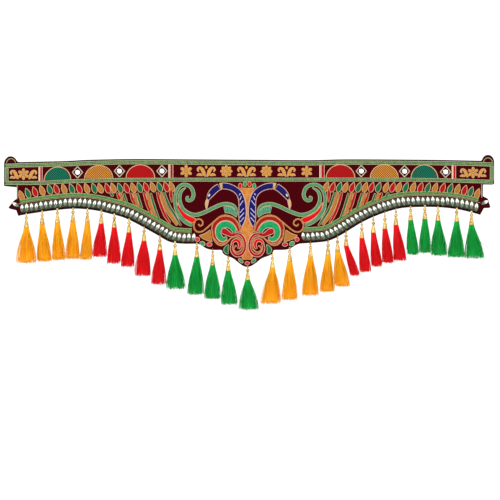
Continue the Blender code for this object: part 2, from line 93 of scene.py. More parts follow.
# %% Smooth and even lines
def smooth(rows, steps=6):
    """A smooth line through the rows, with that many steps from each row to the next."""
    rows = np.array(rows, float)
    before = np.vstack([rows[:1], rows[:-2]])
    after = np.vstack([rows[2:], rows[-1:]])
    start = rows[:-1]
    end = rows[1:]
    slope_in = (end - before) / 2
    slope_out = (after - start) / 2
    line = []
    for share in np.arange(steps) / steps:
        bend = (end - start) * 3 - slope_in * 2 - slope_out
        turn = (start - end) * 2 + slope_in + slope_out
        line.append(start + slope_in * share + bend * share**2 + turn * share**3)
    return np.vstack([np.stack(line, 1).reshape(-1, rows.shape[1]), rows[-1:]])


def lengths_of(line):
    """How far each point lies along the line, by its first two columns."""
    steps = np.linalg.norm(np.diff(line[:, :2], axis=0), axis=1)
    return np.concatenate([[0.0], np.cumsum(steps)])


def even(line, spacing):
    """The same line with its points spaced evenly."""
    line = np.array(line, float)
    along = lengths_of(line)
    count = max(int(round(along[-1] / spacing)), 2)
    wanted = np.linspace(0.0, along[-1], count + 1)
    return np.stack([np.interp(wanted, along, column) for column in line.T], 1)


def normals_of(line, closed=False):
    """The unit normal at each point, to the left of the line's direction."""
    if closed:
        along = np.roll(line[:, :2], -1, axis=0) - np.roll(line[:, :2], 1, axis=0)
    else:
        along = np.gradient(line[:, :2], axis=0)
    along /= np.maximum(np.linalg.norm(along, axis=1), 1e-9)[:, None]
    return np.stack([-along[:, 1], along[:, 0]], 1)


def beside(line, distance):
    """The line moved sideways, to its left for a distance above zero."""
    return line[:, :2] + normals_of(line) * distance


def rails(rows):
    """The left and right edge of a strip whose rows are x, drop and width."""
    half = normals_of(rows) * rows[:, 2:3] / 2
    return rows[:, :2] + half, rows[:, :2] - half


def with_width(line, width):
    """The rows of a strip that has one width all along a line."""
    return np.column_stack([line, np.full(len(line), width)])


def drop_at(line, x):
    """The drop of a line at one x."""
    ordered = line[np.argsort(line[:, 0])]
    return float(np.interp(x, ordered[:, 0], ordered[:, 1]))


print("points of a sample line:", len(even(smooth([(0, 0), (10, 5), (20, 0)]), 1.0)))

# %% [markdown]
# ## Heaps of grids
# A strip of satin, a cord and a bead are all the same thing to a modeller: a grid of points, open or
# closed round about. So each piece is a heap of grids that becomes one mesh at the end. Each grid also
# carries its own measure, in millimetres along and as a share across, which the threads and ridges of a
# finish follow.

# %% A heap of grids and the piece made from it
def heap():
    """An empty heap for the grids of one piece."""
    return {"points": [], "faces": [], "measure": [], "finish": [], "sharp": [], "count": 0}


def add_grid(pile, grid, finish=0, round_about=False, sharp=False):
    """Adds a grid of points in mm: rows along, columns across, closed round about if asked."""
    rows, columns = grid.shape[:2]
    number = pile["count"] + np.arange(rows * columns).reshape(rows, columns)
    across = columns if round_about else columns - 1
    turned = np.roll(number, -1, axis=1)
    corners = (number[:-1], turned[:-1], turned[1:], number[1:])
    faces = np.stack([corner[:, :across] for corner in corners], -1).reshape(-1, 4)
    steps = np.linalg.norm(np.diff(grid, axis=0), axis=2).mean(1)
    along = np.concatenate([[0.0], np.cumsum(steps)])
    low, left = np.meshgrid(np.arange(rows - 1), np.arange(across), indexing="ij")
    measure = []
    for down, side in ((0, 0), (0, 1), (1, 1), (1, 0)):
        measure.append(np.stack([along[low + down], (left + side) / across], -1))
    measure = np.stack(measure, 2).reshape(-1, 4, 2)
    flat = grid.reshape(-1, 3)
    local = faces - pile["count"]
    middle = flat[local].mean(1)
    facing = np.cross(flat[local[:, 2]] - flat[local[:, 0]], flat[local[:, 3]] - flat[local[:, 1]])
    outward = np.array((0.0, -1.0, 0.0))
    if round_about:
        outward = middle - np.repeat((grid[:-1].mean(1) + grid[1:].mean(1)) / 2, across, axis=0)
    if (facing * outward).sum() < 0:
        faces = faces[:, ::-1]
        measure = measure[:, ::-1]
    pile["points"].append(flat)
    pile["faces"].append(faces)
    pile["measure"].append(measure)
    pile["finish"].append(np.full(len(faces), finish))
    pile["sharp"].append(np.full(len(faces), sharp))
    pile["count"] += len(flat)


def place_piece(name, mesh, finishes, node=None):
    """An object from a mesh with its finishes by name; it rides on the toran and may stand for a CAD node."""
    for finish in finishes:
        mesh.materials.append(FINISHES[finish])
    piece = bpy.data.objects.new(name, mesh)
    bpy.context.scene.collection.objects.link(piece)
    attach(piece, "root")
    if node:
        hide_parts(node)
    return piece


def make_piece(name, pile, finishes, node=None):
    """One object from a heap."""
    points = np.vstack(pile["points"]) * MM
    faces = np.vstack(pile["faces"])
    mesh = bpy.data.meshes.new(name)
    mesh.from_pydata(points.tolist(), [], faces.tolist())
    mesh.polygons.foreach_set("material_index", np.concatenate(pile["finish"]).astype(np.int32))
    mesh.polygons.foreach_set("use_smooth", ~np.concatenate(pile["sharp"]))
    layer = mesh.uv_layers.new(name="measure")
    layer.data.foreach_set("uv", np.vstack(pile["measure"]).astype(np.float32).ravel())
    return place_piece(name, mesh, finishes, node)


def triangles(piece):
    """How many triangles a piece has."""
    return sum(len(face.vertices) - 2 for face in piece.data.polygons)


print("a heap holds:", ", ".join(heap()))

# %% [markdown]
# ## Cords, strips and turned parts
# A cord is a round tube that lies half sunk in the cloth. A strip is satin over padding: highest in the
# middle and down to nothing at its edges, and lower where it gets narrower. A turned part, such as a bead
# or a cap, is a profile swept round an upright axis.

# %% Cords, strips and turned parts
def add_cord(pile, line, radius, proud, finish=0, spacing=1.6, sides=6, closed=False, lay=0.0, pitch=3.0):
    """A cord along a line of x and drop. "lay" is how deep its twist is cut, as a share of the radius."""
    line = even(np.array(line, float)[:, :2], spacing)
    if closed:
        line = line[:-1]
    aside = normals_of(line, closed)
    along = lengths_of(line)
    angle = np.linspace(0.0, 2 * math.pi, sides, endpoint=False)
    thick = radius * (1 + lay * np.cos(2 * angle[None, :] + 2 * math.pi * along[:, None] / pitch))
    grid = np.zeros((len(line), sides, 3))
    grid[..., 0] = line[:, 0:1] + aside[:, 0:1] * thick * np.cos(angle)
    grid[..., 1] = -proud - thick * np.sin(angle)
    grid[..., 2] = -(line[:, 1:2] + aside[:, 1:2] * thick * np.cos(angle))
    if closed:
        grid = np.concatenate([grid, grid[:1]])
    add_grid(pile, grid, finish, round_about=True)


ACROSS = np.array((-1.0, -0.88, -0.55, 0.0, 0.55, 0.88, 1.0))
PADDING = np.array((-0.25, 0.42, 0.84, 1.0, 0.84, 0.42, -0.25))


def add_strip(pile, rows, height, proud, finish=0, spacing=1.5, ready=False):
    """A padded strip whose rows are x, drop and width; it gets lower where it is narrower than high."""
    rows = np.array(rows, float) if ready else even(smooth(rows), spacing)
    aside = normals_of(rows)
    reach = rows[:, 2:3] / 2 * ACROSS
    tall = height * np.minimum(1.0, rows[:, 2:3] / (height * 2.2))
    grid = np.zeros((len(rows), len(ACROSS), 3))
    grid[..., 0] = rows[:, 0:1] + aside[:, 0:1] * reach
    grid[..., 1] = -(proud + tall * PADDING)
    grid[..., 2] = -(rows[:, 1:2] + aside[:, 1:2] * reach)
    add_grid(pile, grid, finish)
    return rows


# how far the middle of an edge cord stands over the cloth, as a share of its radius
EDGE_CORD_RAISED = 0.4
# radius, height, as shares of a boss's own
DOMED = ((1.0, -0.1), (0.97, 0.45), (0.82, 0.78), (0.55, 0.95), (0.02, 1.0))


def add_corded_strip(pile, rows, height, fill, cord, radius, spacing=1.5):
    """A padded strip on the velvet with a cord all round it."""
    rows = add_strip(pile, rows, height, FRONT, fill, spacing)
    left, right = rails(rows)
    outline = np.vstack([left, right[::-1], left[:1]])
    add_cord(pile, outline, radius, FRONT + radius * EDGE_CORD_RAISED, cord, closed=True)


def add_turned(pile, profile, x, y, z, finish=0, sides=20):
    """A profile of radius and height, swept round an upright axis through x, y, z in mm."""
    profile = np.array(profile, float)
    angle = np.linspace(0.0, 2 * math.pi, sides, endpoint=False)
    grid = np.zeros((len(profile), sides, 3))
    grid[..., 0] = x + profile[:, 0:1] * np.cos(angle)
    grid[..., 1] = y + profile[:, 0:1] * np.sin(angle)
    grid[..., 2] = z + profile[:, 1:2]
    add_grid(pile, grid, finish, round_about=True)


def add_boss(pile, x, drop, half_wide, half_high, tilt, height, finish=0, sides=18, profile=DOMED):
    """A low round or oval boss that lies on the velvet, turned by a tilt in degrees."""
    shape = np.array(profile)
    angle = np.linspace(0.0, 2 * math.pi, sides, endpoint=False)
    wide = half_wide * shape[:, 0:1] * np.cos(angle)
    high = half_high * shape[:, 0:1] * np.sin(angle)
    turn = math.radians(tilt)
    grid = np.zeros((len(shape), sides, 3))
    grid[..., 0] = x + wide * math.cos(turn) - high * math.sin(turn)
    grid[..., 1] = -(FRONT + height * shape[:, 1:2])
    grid[..., 2] = -drop + wide * math.sin(turn) + high * math.cos(turn)
    add_grid(pile, grid, finish, round_about=True)


def oval(x, drop, half_wide, half_high, tilt=0.0, points=25):
    """The closed line of an oval, turned by a tilt in degrees."""
    angle = np.linspace(0.0, 2 * math.pi, points)
    wide = half_wide * np.cos(angle)
    high = half_high * np.sin(angle)
    turn = math.radians(tilt)
    across = x + wide * math.cos(turn) - high * math.sin(turn)
    return np.stack([across, drop - wide * math.sin(turn) - high * math.cos(turn)], 1)


print("points across a strip:", len(ACROSS))

# %% [markdown]
# ## Finishes
# Cloth is never one flat colour, so every finish moves between a darker and a lighter shade. Plain cloth
# and velvet do it in small grains. Satin, cord and braid do it in ridges, which follow the measure that
# each grid carries, as real threads follow the strip. Brocade has a woven lattice. All of it is made by
# nodes, with no picture.

# %% Finishes made by nodes
FINISHES = {}


def linear(red, green, blue):
    """A colour given from 0 to 255, as the shader wants it."""
    shares = np.array((red, green, blue)) / 255
    return (*np.where(shares <= 0.04045, shares / 12.92, ((shares + 0.055) / 1.055) ** 2.4), 1.0)


def calculate(nodes, links, operation, first, second=None, third=None):
    """One sum on sockets or numbers; returns its output."""
    sum_node = nodes.new("ShaderNodeMath")
    sum_node.operation = operation
    for socket, value in zip(sum_node.inputs, (first, second, third)):
        if isinstance(value, (int, float)):
            socket.default_value = value
        elif value is not None:
            links.new(value, socket)
    return sum_node.outputs[0]


def start_finish(name, dark, light, roughness, metallic, gloss):
    """Keeps a new material of two shades by its name; returns its nodes, links, shade ramp and relief."""
    material = bpy.data.materials.new(name)
    material.use_nodes = True
    nodes = material.node_tree.nodes
    links = material.node_tree.links
    shader = nodes["Principled BSDF"]
    shader.inputs["Roughness"].default_value = roughness
    shader.inputs["Metallic"].default_value = metallic
    shader.inputs["Specular IOR Level"].default_value = gloss
    ramp = nodes.new("ShaderNodeValToRGB")
    ramp.color_ramp.elements[0].color = linear(*dark)
    ramp.color_ramp.elements[1].color = linear(*light)
    ramp.color_ramp.elements[0].position = 0.25
    ramp.color_ramp.elements[1].position = 0.75
    relief = nodes.new("ShaderNodeBump")
    links.new(ramp.outputs["Color"], shader.inputs["Base Color"])
    links.new(relief.outputs["Normal"], shader.inputs["Normal"])
    FINISHES[name] = material
    return nodes, links, ramp, relief


def grains(nodes, links, grain, stretch):
    """A noise of that many grains a metre, stretched along an axis if asked."""
    places = nodes.new("ShaderNodeTexCoord")
    scaled = nodes.new("ShaderNodeMapping")
    scaled.inputs["Scale"].default_value = stretch
    noise = nodes.new("ShaderNodeTexNoise")
    noise.inputs["Scale"].default_value = grain
    noise.inputs["Detail"].default_value = 3.0
    links.new(places.outputs["Object"], scaled.inputs["Vector"])
    links.new(scaled.outputs["Vector"], noise.inputs["Vector"])
    return noise.outputs["Fac"]


def drive(links, pattern, ramp, relief, depth):
    """Lets one pattern choose the shade and lift the surface by a depth in mm."""
    relief.inputs["Distance"].default_value = depth * MM
    links.new(pattern, ramp.inputs["Fac"])
    links.new(pattern, relief.inputs["Height"])


def grained(name, dark, light, roughness=0.8, metallic=0.0, gloss=0.15, grain=400.0, stretch=(1, 1, 1),
            depth=0.3):
    """Cloth, velvet, thread or metal whose shade changes in grains."""
    nodes, links, ramp, relief = start_finish(name, dark, light, roughness, metallic, gloss)
    drive(links, grains(nodes, links, grain, stretch), ramp, relief, depth)


def ridged(name, dark, light, pitch, slant=0.0, gloss=0.2, mottle=0.35, grain=260.0, depth=0.25):
    """Threads or plies across a strip or round a cord, one each pitch in mm, mottled by a share."""
    nodes, links, ramp, relief = start_finish(name, dark, light, 0.5, 0.0, gloss)
    places = nodes.new("ShaderNodeTexCoord")
    parts = nodes.new("ShaderNodeSeparateXYZ")
    links.new(places.outputs["UV"], parts.inputs[0])
    along = calculate(nodes, links, "MULTIPLY", parts.outputs["X"], 2 * math.pi / pitch)
    phase = calculate(nodes, links, "MULTIPLY_ADD", parts.outputs["Y"], 2 * math.pi * slant, along)
    wave = calculate(nodes, links, "SINE", phase)
    ridge = calculate(nodes, links, "MULTIPLY_ADD", wave, 0.5 * (1 - mottle), 0.5 * (1 - mottle))
    pattern = calculate(nodes, links, "MULTIPLY_ADD", grains(nodes, links, grain, (1, 1, 1)), mottle, ridge)
    drive(links, pattern, ramp, relief, depth)


def brocade(name, dark, light, pitch, line=0.4):
    """A woven lattice of slanting lines, one each pitch in mm."""
    nodes, links, ramp, relief = start_finish(name, dark, light, 0.6, 0.0, 0.08)
    places = nodes.new("ShaderNodeTexCoord")
    parts = nodes.new("ShaderNodeSeparateXYZ")
    links.new(places.outputs["Object"], parts.inputs[0])
    waves = []
    for operation in ("ADD", "SUBTRACT"):
        slanted = calculate(nodes, links, operation, parts.outputs["X"], parts.outputs["Z"])
        turns = calculate(nodes, links, "MULTIPLY", slanted, math.pi / (pitch * MM))
        wave = calculate(nodes, links, "SINE", turns)
        waves.append(calculate(nodes, links, "ABSOLUTE", wave))
    pattern = calculate(nodes, links, "MINIMUM", *waves)
    ramp.color_ramp.elements[0].position = line * 0.5
    ramp.color_ramp.elements[1].position = line * 1.6
    drive(links, pattern, ramp, relief, 0.25)


# mm from one thread, ply or twist to the next
SATIN_PITCH = 0.8
CORD_PITCH = 1.8
ROPE_PITCH = 2.6
# name, dark shade, light shade
SATINS = (
    ("red satin", (128, 0, 6), (184, 4, 16)),
    ("deep red satin", (118, 4, 2), (176, 18, 8)),
    ("bright red satin", (176, 0, 6), (218, 2, 16)),
    ("gold satin", (128, 72, 16), (190, 128, 54)),
    ("green satin", (0, 72, 42), (10, 112, 70)),
    ("blue satin", (3, 2, 56), (16, 10, 106)),
)
CORDS = (
    ("pale twisted edge", (112, 122, 82), (190, 194, 150)),
    ("dull twisted edge", (112, 112, 72), (182, 182, 134)),
    ("pale gold cord", (150, 102, 66), (232, 192, 148)),
    ("pale pink cord", (160, 116, 100), (232, 192, 172)),
    ("dull silver cord", (140, 126, 104), (216, 200, 172)),
)
for name, dark, light in SATINS:
    ridged(name, dark, light, SATIN_PITCH, gloss=0.1)
for name, dark, light in CORDS:
    ridged(name, dark, light, CORD_PITCH, 1.0)
ridged("gold rope", (110, 66, 22), (214, 160, 84), ROPE_PITCH, 1.0, depth=0.5)
ridged("peach rope", (146, 66, 34), (236, 156, 100), ROPE_PITCH, 1.0, depth=0.5)
ridged("pale satin", (206, 170, 140), (244, 220, 196), SATIN_PITCH)
ridged("tan satin", (164, 126, 72), (214, 180, 122), SATIN_PITCH)
ridged("lilac thread", (166, 156, 178), (216, 206, 222), SATIN_PITCH)
ridged("orange gold satin", (150, 64, 14), (204, 138, 62), SATIN_PITCH, gloss=0.1, mottle=0.7, grain=120)
ridged("bright green satin", (0, 104, 58), (26, 166, 96), SATIN_PITCH, gloss=0.1, mottle=0.6, grain=160)
ridged("window gold satin", (150, 88, 20), (224, 164, 64), 1.2, gloss=0.15)
ridged("teal satin", (14, 84, 66), (88, 156, 122), 3.2, mottle=0.5)
ridged("light green scroll", (20, 78, 46), (92, 150, 106), 2.6, 0.6, mottle=0.5)
ridged("green braid", (6, 40, 16), (98, 138, 78), 3.4, 1.0, mottle=0.6, grain=160)
ridged("bright green braid", (10, 72, 22), (84, 146, 68), 3.0, mottle=0.6, grain=200)
grained("maroon velvet", (40, 0, 3), (74, 1, 9), 0.95, gloss=0.04, grain=700, depth=0.25)
# near black: the pupils' own colour; on the folded edge roll and the hem strip partly a dark edging and
# partly painted fold shade
grained("near black cloth and painted fold shade", (14, 4, 4), (34, 16, 14), 0.9, gloss=0.05, grain=700)
grained("plain back cloth", (58, 40, 38), (78, 58, 54), 0.9, gloss=0.05, grain=900, depth=0.15)
print("finishes:", len(FINISHES))

# %% [markdown]
# ## The velvet panel
# A maker cuts the panel from stiffened cloth in one piece, with its hanging tabs, its fish-tail ends and
# its lobes, covers it with velvet and turns the edge. It hangs flat, so its hung size is its cut size.
# The outline is the CAD board's, with its left lobes a little narrower, as they were sewn. A dark roll
# runs round the edge, its near black partly painted shade of the fold, and the back is plain cloth.

# %% Measured lines of the panel
TOP_EDGE = (
    (-461.0, 4.8), (-368.0, 2.6), (-334.0, 0.8), (-298.0, -0.4), (-230.0, -1.4), (-118.0, -0.8), (0.0, 0.0),
    (122.0, 0.8), (198.0, -0.8), (362.0, 0.2), (463.6, 2.2),
)
MIDDLE_BRAID = (
    (-487.6, 46.8), (-440.0, 46.8), (-408.0, 46.2), (-368.0, 44.0), (-298.0, 41.6), (-238.0, 40.6),
    (0.0, 40.2), (300.0, 40.2), (380.0, 41.3), (472.0, 44.0), (487.6, 44.6),
)
# left x, left drop, right x, right drop: from the bar's lower corner round the fish tail
END_CORNERS = (
    (-490.0, 52.2, 489.6, 49.2), (-464.6, 52.2, 467.2, 49.4), (-464.2, 78.2, 466.8, 73.4),
    (-470.8, 82.6, 476.8, 78.2), (-481.4, 96.8, 482.2, 95.8), (-465.4, 101.4, 469.2, 96.8),
)
# distance from the middle, drop on the left, drop on the right
HEM = (
    (462.0, 112.2, 110.2), (422.0, 105.8, 100.4), (384.0, 100.8, 95.6), (346.0, 98.2, 94.8),
    (308.0, 101.6, 96.6), (279.0, 108.2, 103.4), (250.0, 116.2, 113.8), (222.0, 129.4, 127.2),
    (182.0, 151.6, 151.4), (157.0, 165.2, 162.8), (127.0, 168.6, 166.4),
)
# distance out from the ornament's middle line, drop
LOBES = (
    (104.4, 168.2), (96.4, 171.4), (88.0, 176.6), (78.0, 180.0), (66.0, 180.8), (53.4, 181.2),
    (51.0, 187.2), (44.0, 192.0), (36.0, 194.8), (28.0, 198.4), (20.0, 204.8), (10.0, 211.8), (0.0, 215.4),
)
ORNAMENT_MIDDLE_X = -4.0
PANEL_THICKNESS = 3.0
FRONT = PANEL_THICKNESS
# this much lower, the roll of the turned edge stays within the height of the CAD board
TOP_EDGE_LOWERED = 0.3
# out, how much nearer the middle the left half was sewn
LEFT_SHIFT = ((0.0, 0.0), (40.0, 1.6), (86.0, 3.8), (123.0, 6.4), (150.0, 11.0), (159.0, 12.3), (170.0, 9.4))
# middle x, middle drop, half width, height, first and last angle in degrees, anticlockwise from the right
TAB_LEFT = (-476.8, 9.2, 13.2, 15.8, 180, 25)
TAB_RIGHT = (477.2, 5.0, 12.4, 14.4, 165, 0)
SIDES = ((-1, "left"), (1, "right"))


def on_side(rows, side):
    """Rows of the middle ornament on its left (-1) or right (1); the left was sewn a little narrower."""
    rows = np.array(rows, float)
    if side < 0:
        rows[:, 0] -= np.interp(rows[:, 0], *zip(*LEFT_SHIFT))
    rows[:, 0] = ORNAMENT_MIDDLE_X + side * rows[:, 0]
    return rows


def tab(middle_x, middle_drop, half_width, height, first, last, steps=14):
    """The round top of a hanging tab, by angle in degrees."""
    angle = np.radians(np.linspace(first, last, steps))
    return np.stack([middle_x + half_width * np.cos(angle), middle_drop - height * np.sin(angle)], 1)


top_edge = smooth(TOP_EDGE) + (0.0, TOP_EDGE_LOWERED)
middle_braid = smooth(MIDDLE_BRAID)
hems = {-1: smooth([(-row[0], row[1]) for row in HEM]), 1: smooth([(row[0], row[2]) for row in HEM])}
lobes = {side: smooth(on_side(LOBES, side), 4) for side, name in SIDES}
corners = np.array(END_CORNERS)
panel_line = np.vstack([
    corners[:1, :2],
    tab(*TAB_LEFT),
    top_edge,
    tab(*TAB_RIGHT),
    corners[:, 2:],
    hems[1],
    lobes[1],
    lobes[-1][::-1][1:],
    hems[-1][::-1],
    corners[:0:-1, :2],
])
hem_line = np.vstack([hems[-1], lobes[-1], lobes[1][::-1], hems[1][::-1]])
print("points round the panel:", len(panel_line))

# %% [markdown]
# ## Filling a flat outline
# The panel is filled with a net of triangles that keeps to its outline, closed by a back and a side.

# %% The panel
# points of the outline that lie nearer than this to the next one are left out
NEAREST_POINTS = 0.2


def filled(name, line, thickness, finishes, node):
    """A closed flat piece from an outline of x and drop: the first finish in front, the second behind."""
    bm = bmesh.new()
    rim = [bm.verts.new((x * MM, -thickness * MM, -drop * MM)) for x, drop in line]
    edges = [bm.edges.new((rim[index - 1], rim[index])) for index in range(len(rim))]
    front = bmesh.ops.triangle_fill(bm, edges=edges, use_beauty=True)["geom"]
    front = [item for item in front if isinstance(item, bmesh.types.BMFace)]
    back = bmesh.ops.duplicate(bm, geom=front + rim + edges)
    behind = [item for item in back["geom"] if isinstance(item, bmesh.types.BMVert)]
    for face in back["geom"]:
        if isinstance(face, bmesh.types.BMFace):
            face.material_index = 1
    bmesh.ops.translate(bm, verts=behind, vec=(0.0, thickness * MM, 0.0))
    for index in range(len(rim)):
        first, second = rim[index - 1], rim[index]
        bm.faces.new((first, second, back["vert_map"][second], back["vert_map"][first]))
    bmesh.ops.recalc_face_normals(bm, faces=bm.faces)
    mesh = bpy.data.meshes.new(name)
    bm.to_mesh(mesh)
    bm.free()
    return place_piece(name, mesh, finishes, node)


steps = np.linalg.norm(np.diff(panel_line, axis=0, append=panel_line[:1]), axis=1)
panel_line = panel_line[steps > NEAREST_POINTS]
finishes = ("maroon velvet", "plain back cloth")
panel = filled("velvet_panel", panel_line, PANEL_THICKNESS, finishes, "board")

# %% [markdown]
# ## The turned edge
# The velvet is folded round the stiffening, which leaves a soft dark roll, near black partly as a dark
# edging and partly as painted shade of the fold. It stands a little proud all round, and is thicker
# under the stones, where a strip of dark velvet shows in the same partly painted near black.

# %% The turned edge
EDGE_RADIUS = 1.7
HEM_STRIP_WIDTH = 4.6
HEM_STRIP_ABOVE_HEM = 2.4
# x and drop of the dark boss in each tab
TAB_BOSSES = ((-476.0, 6.2), (477.2, 4.6))
pile = heap()
# the edge roll: its near black is partly painted shade of the fold
inside = panel_line + normals_of(panel_line, True) * EDGE_RADIUS
add_cord(pile, inside, EDGE_RADIUS, PANEL_THICKNESS / 2 + 0.2, spacing=3.0, sides=8, closed=True)
# the hem strip has the same near black, partly painted fold shade
for side, name in SIDES:
    line = even(hems[side], 4.0) - (0.0, HEM_STRIP_ABOVE_HEM)
    add_strip(pile, with_width(line, HEM_STRIP_WIDTH), 0.7, FRONT, ready=True)
for x, drop in TAB_BOSSES:
    add_boss(pile, x, drop, 4.6, 2.0, 0, 0.8)
    add_cord(pile, tab(x, drop + 3.0, 9.4, 11.0, 165, 15), 0.8, FRONT, 1, spacing=2.0)
turned_edge = make_piece("turned_edge", pile, ("near black cloth and painted fold shade", "dull twisted edge"))
print("triangles:", triangles(turned_edge))

# %% [markdown]
# ## Braid
# Braid is sold by the metre: a green woven band with a pale twisted edge on both sides. It is stitched
# round the upper bar and along the scallops. A strip with two cords is enough, and its ridges follow
# every bend.

# %% Braid
BRAID_HEIGHT = 1.1
BRAID_WIDTH = 7.0
TOP_BRAID_WIDTH = 7.6
TOP_BRAID_BELOW_EDGE = 6.6
BAR_HALF_LENGTH = 487.6
BAR_END_FALL = 1.0
END_BRAID_WIDTH = 6.6
END_BRAID_OUT = 484.6
END_BRAID_CLEAR = 2.6
HEM_BRAID_WIDTH = 6.2
HEM_BRAID_ABOVE_HEM = 28.0
# inner end, by how far out it is, and outer end, by its x
HEM_BRAID_ENDS = (111.0, 458.0)


def make_braid(place, line, width, band="green braid", cord="pale twisted edge"):
    """One length of braid along a line."""
    pile = heap()
    line = even(line, 3.0)
    rows = with_width(line, width)
    add_strip(pile, rows, BRAID_HEIGHT, FRONT, 0, ready=True)
    for side in (-1, 1):
        edge = beside(rows, side * (width / 2 - 0.4))
        add_cord(pile, edge, 0.65, FRONT + 0.5, 1, spacing=2.4)
    if band == "green braid":
        add_cord(pile, line, 0.3, FRONT + BRAID_HEIGHT, 1, spacing=2.4, sides=5)
    make_piece("green_braid_" + place, pile, (band, cord), "braid_" + place)


def over_hem(side, rise, inner, outer):
    """A line that keeps a distance over one side of the hem, from its inner to its outer end."""
    line = beside(hems[side], side * rise)
    x = np.linspace(ORNAMENT_MIDDLE_X + side * inner, side * outer, 90)
    ordered = line[np.argsort(line[:, 0])]
    return np.stack([x, np.interp(x, ordered[:, 0], ordered[:, 1])], 1)


upper = top_edge + (0.0, TOP_BRAID_BELOW_EDGE)
first_end = (-BAR_HALF_LENGTH, upper[0, 1] + BAR_END_FALL)
last_end = (BAR_HALF_LENGTH, upper[-1, 1] + BAR_END_FALL)
upper = np.vstack([first_end, upper, last_end])
make_braid("top", upper, TOP_BRAID_WIDTH)
make_braid("middle", middle_braid, BRAID_WIDTH)
for side, name in SIDES:
    x = side * END_BRAID_OUT
    line = ((x, drop_at(upper, x) + END_BRAID_CLEAR), (x, drop_at(middle_braid, x) - END_BRAID_CLEAR))
    make_braid("end_" + name, line, END_BRAID_WIDTH)
for side, name in SIDES:
    line = over_hem(side, HEM_BRAID_ABOVE_HEM, *HEM_BRAID_ENDS)
    make_braid("hem_" + name, line, HEM_BRAID_WIDTH, "bright green braid", "dull twisted edge")
braid_length = 2 * (lengths_of(upper)[-1] + lengths_of(hems[-1])[-1])
print("braid in metres:", round(float(braid_length) * MM, 2))

# %% [markdown]
# ## The windows of the bar
# The bar is parted into windows by strips of pale and red satin. Between them stand half rounds of
# brocade, each with a pale cord round it, and diamonds of silver cord that hold a small round mirror.

# %% Dividers, domes and mirrors
# left side x, right side x
DIVIDERS = ((-420.8, -412.8), (-161.4, -151.4), (140.2, 151.0), (404.8, 413.4))
# middle x, half width, cloth
DOMES = (
    (-383.2, 26.6, "green"),
    (-300.8, 28.2, "gold"),
    (-217.4, 28.6, "red"),
    (182.4, 28.6, "red"),
    (269.8, 27.8, "gold"),
    (350.2, 26.6, "green"),
)
MIRROR_MIDDLES = (-343.0, -259.2, -174.4, 224.0, 310.4, 392.4)
DOME_HEIGHT = 26.2
DIAMOND_HALF_WIDTH = 10.2
DIAMOND_HALF_HEIGHT = 11.6
MIRROR_RADIUS = 5.2
MIRROR_RIM_RADIUS = 5.5
MIRROR_PROFILE = ((1.0, -0.1), (0.96, 0.8), (0.8, 1.0), (0.01, 1.0))
brocade("green brocade", (0, 12, 14), (18, 112, 84), 4.6)
brocade("gold brocade", (44, 6, 0), (206, 134, 52), 4.6)
brocade("red brocade", (76, 0, 2), (190, 2, 8), 4.0)
grained("mirror glass", (225, 226, 228), (250, 250, 250), 0.12, 0.85, 0.5, 60, depth=0.02)


def window(x):
    """The highest and lowest drop between the two braids at one x."""
    clear = BRAID_WIDTH / 2 + 0.2
    return drop_at(upper, x) + clear, drop_at(middle_braid, x) - clear


for number, (left_x, right_x) in enumerate(DIVIDERS, 1):
    pile = heap()
    high, low = window((left_x + right_x) / 2)
    for share, width, finish in ((0.12, 2.4, 1), (0.62, 3.6, 0)):
        x = left_x + (right_x - left_x) * share
        add_strip(pile, ((x, high, width), (x, low, width)), 0.9, FRONT, finish)
    for share in (0.36, 0.9):
        x = left_x + (right_x - left_x) * share
        add_cord(pile, ((x, high), (x, low)), 0.7, FRONT + 0.3, 2)
    finishes = ("red satin", "pale satin", "pale pink cord")
    make_piece(f"window_divider_{number}", pile, finishes, f"divider_{number}")

for number, (middle_x, half_width, cloth) in enumerate(DOMES, 1):
    pile = heap()
    low_left = window(middle_x - half_width)[1]
    low_right = window(middle_x + half_width)[1]
    foot = (low_left + low_right) / 2
    lean = (low_right - low_left) / (2 * half_width)
    rise = np.linspace(0.0, 0.995, 18) * DOME_HEIGHT
    width = 2 * half_width * np.sqrt(1 - (rise / DOME_HEIGHT) ** 2)
    rows = np.column_stack([np.full(len(rise), middle_x), foot - rise, width])
    add_strip(pile, rows, 1.1, FRONT, 0, ready=True)
    angle = np.linspace(0.0, math.pi, 40)
    x = middle_x + half_width * np.cos(angle)
    drop = foot + lean * (x - middle_x) - DOME_HEIGHT * np.sin(angle)
    add_cord(pile, np.stack([x, drop], 1), 0.9, FRONT + 0.4, 1)
    finishes = (cloth + " brocade", "pale gold cord")
    make_piece(f"brocade_dome_{number}", pile, finishes, f"dome_{number}")

for number, x in enumerate(MIRROR_MIDDLES, 1):
    pile = heap()
    drop = sum(window(x)) / 2
    top = (x, drop - DIAMOND_HALF_HEIGHT)
    foot = (x, drop + DIAMOND_HALF_HEIGHT)
    diamond = (top, (x + DIAMOND_HALF_WIDTH, drop), foot, (x - DIAMOND_HALF_WIDTH, drop), top)
    add_cord(pile, diamond, 1.05, FRONT + 0.4, 1, closed=True, spacing=1.4)
    add_boss(pile, x, drop, MIRROR_RADIUS, MIRROR_RADIUS, 0, 1.1, 0, 24, MIRROR_PROFILE)
    rim = oval(x, drop, MIRROR_RIM_RADIUS, MIRROR_RIM_RADIUS, points=33)
    add_cord(pile, rim, 0.45, FRONT + 0.5, 2, closed=True)
    finishes = ("mirror glass", "dull silver cord", "near black cloth and painted fold shade")
    make_piece(f"mirror_diamond_{number}", pile, finishes, f"mirror_{number}")
print("windows dressed:", len(DOMES), "domes and", len(MIRROR_MIDDLES), "mirrors")

# %% [markdown]
# ## Gold padded ornament
# Three windows hold raised gold work, which is satin laid over thick padding, with a pale cord round each
# part. Here they carry a border of flowers and paired curling leaves, the everyday motifs of this kind of
# work. Every petal and leaf is one padded strip, so the same tool that makes a feather makes a flower.

# %% Gold padded ornament
PETAL = ((0.20, 0.03), (0.42, 0.26), (0.68, 0.36), (0.88, 0.26), (1.0, 0.05))
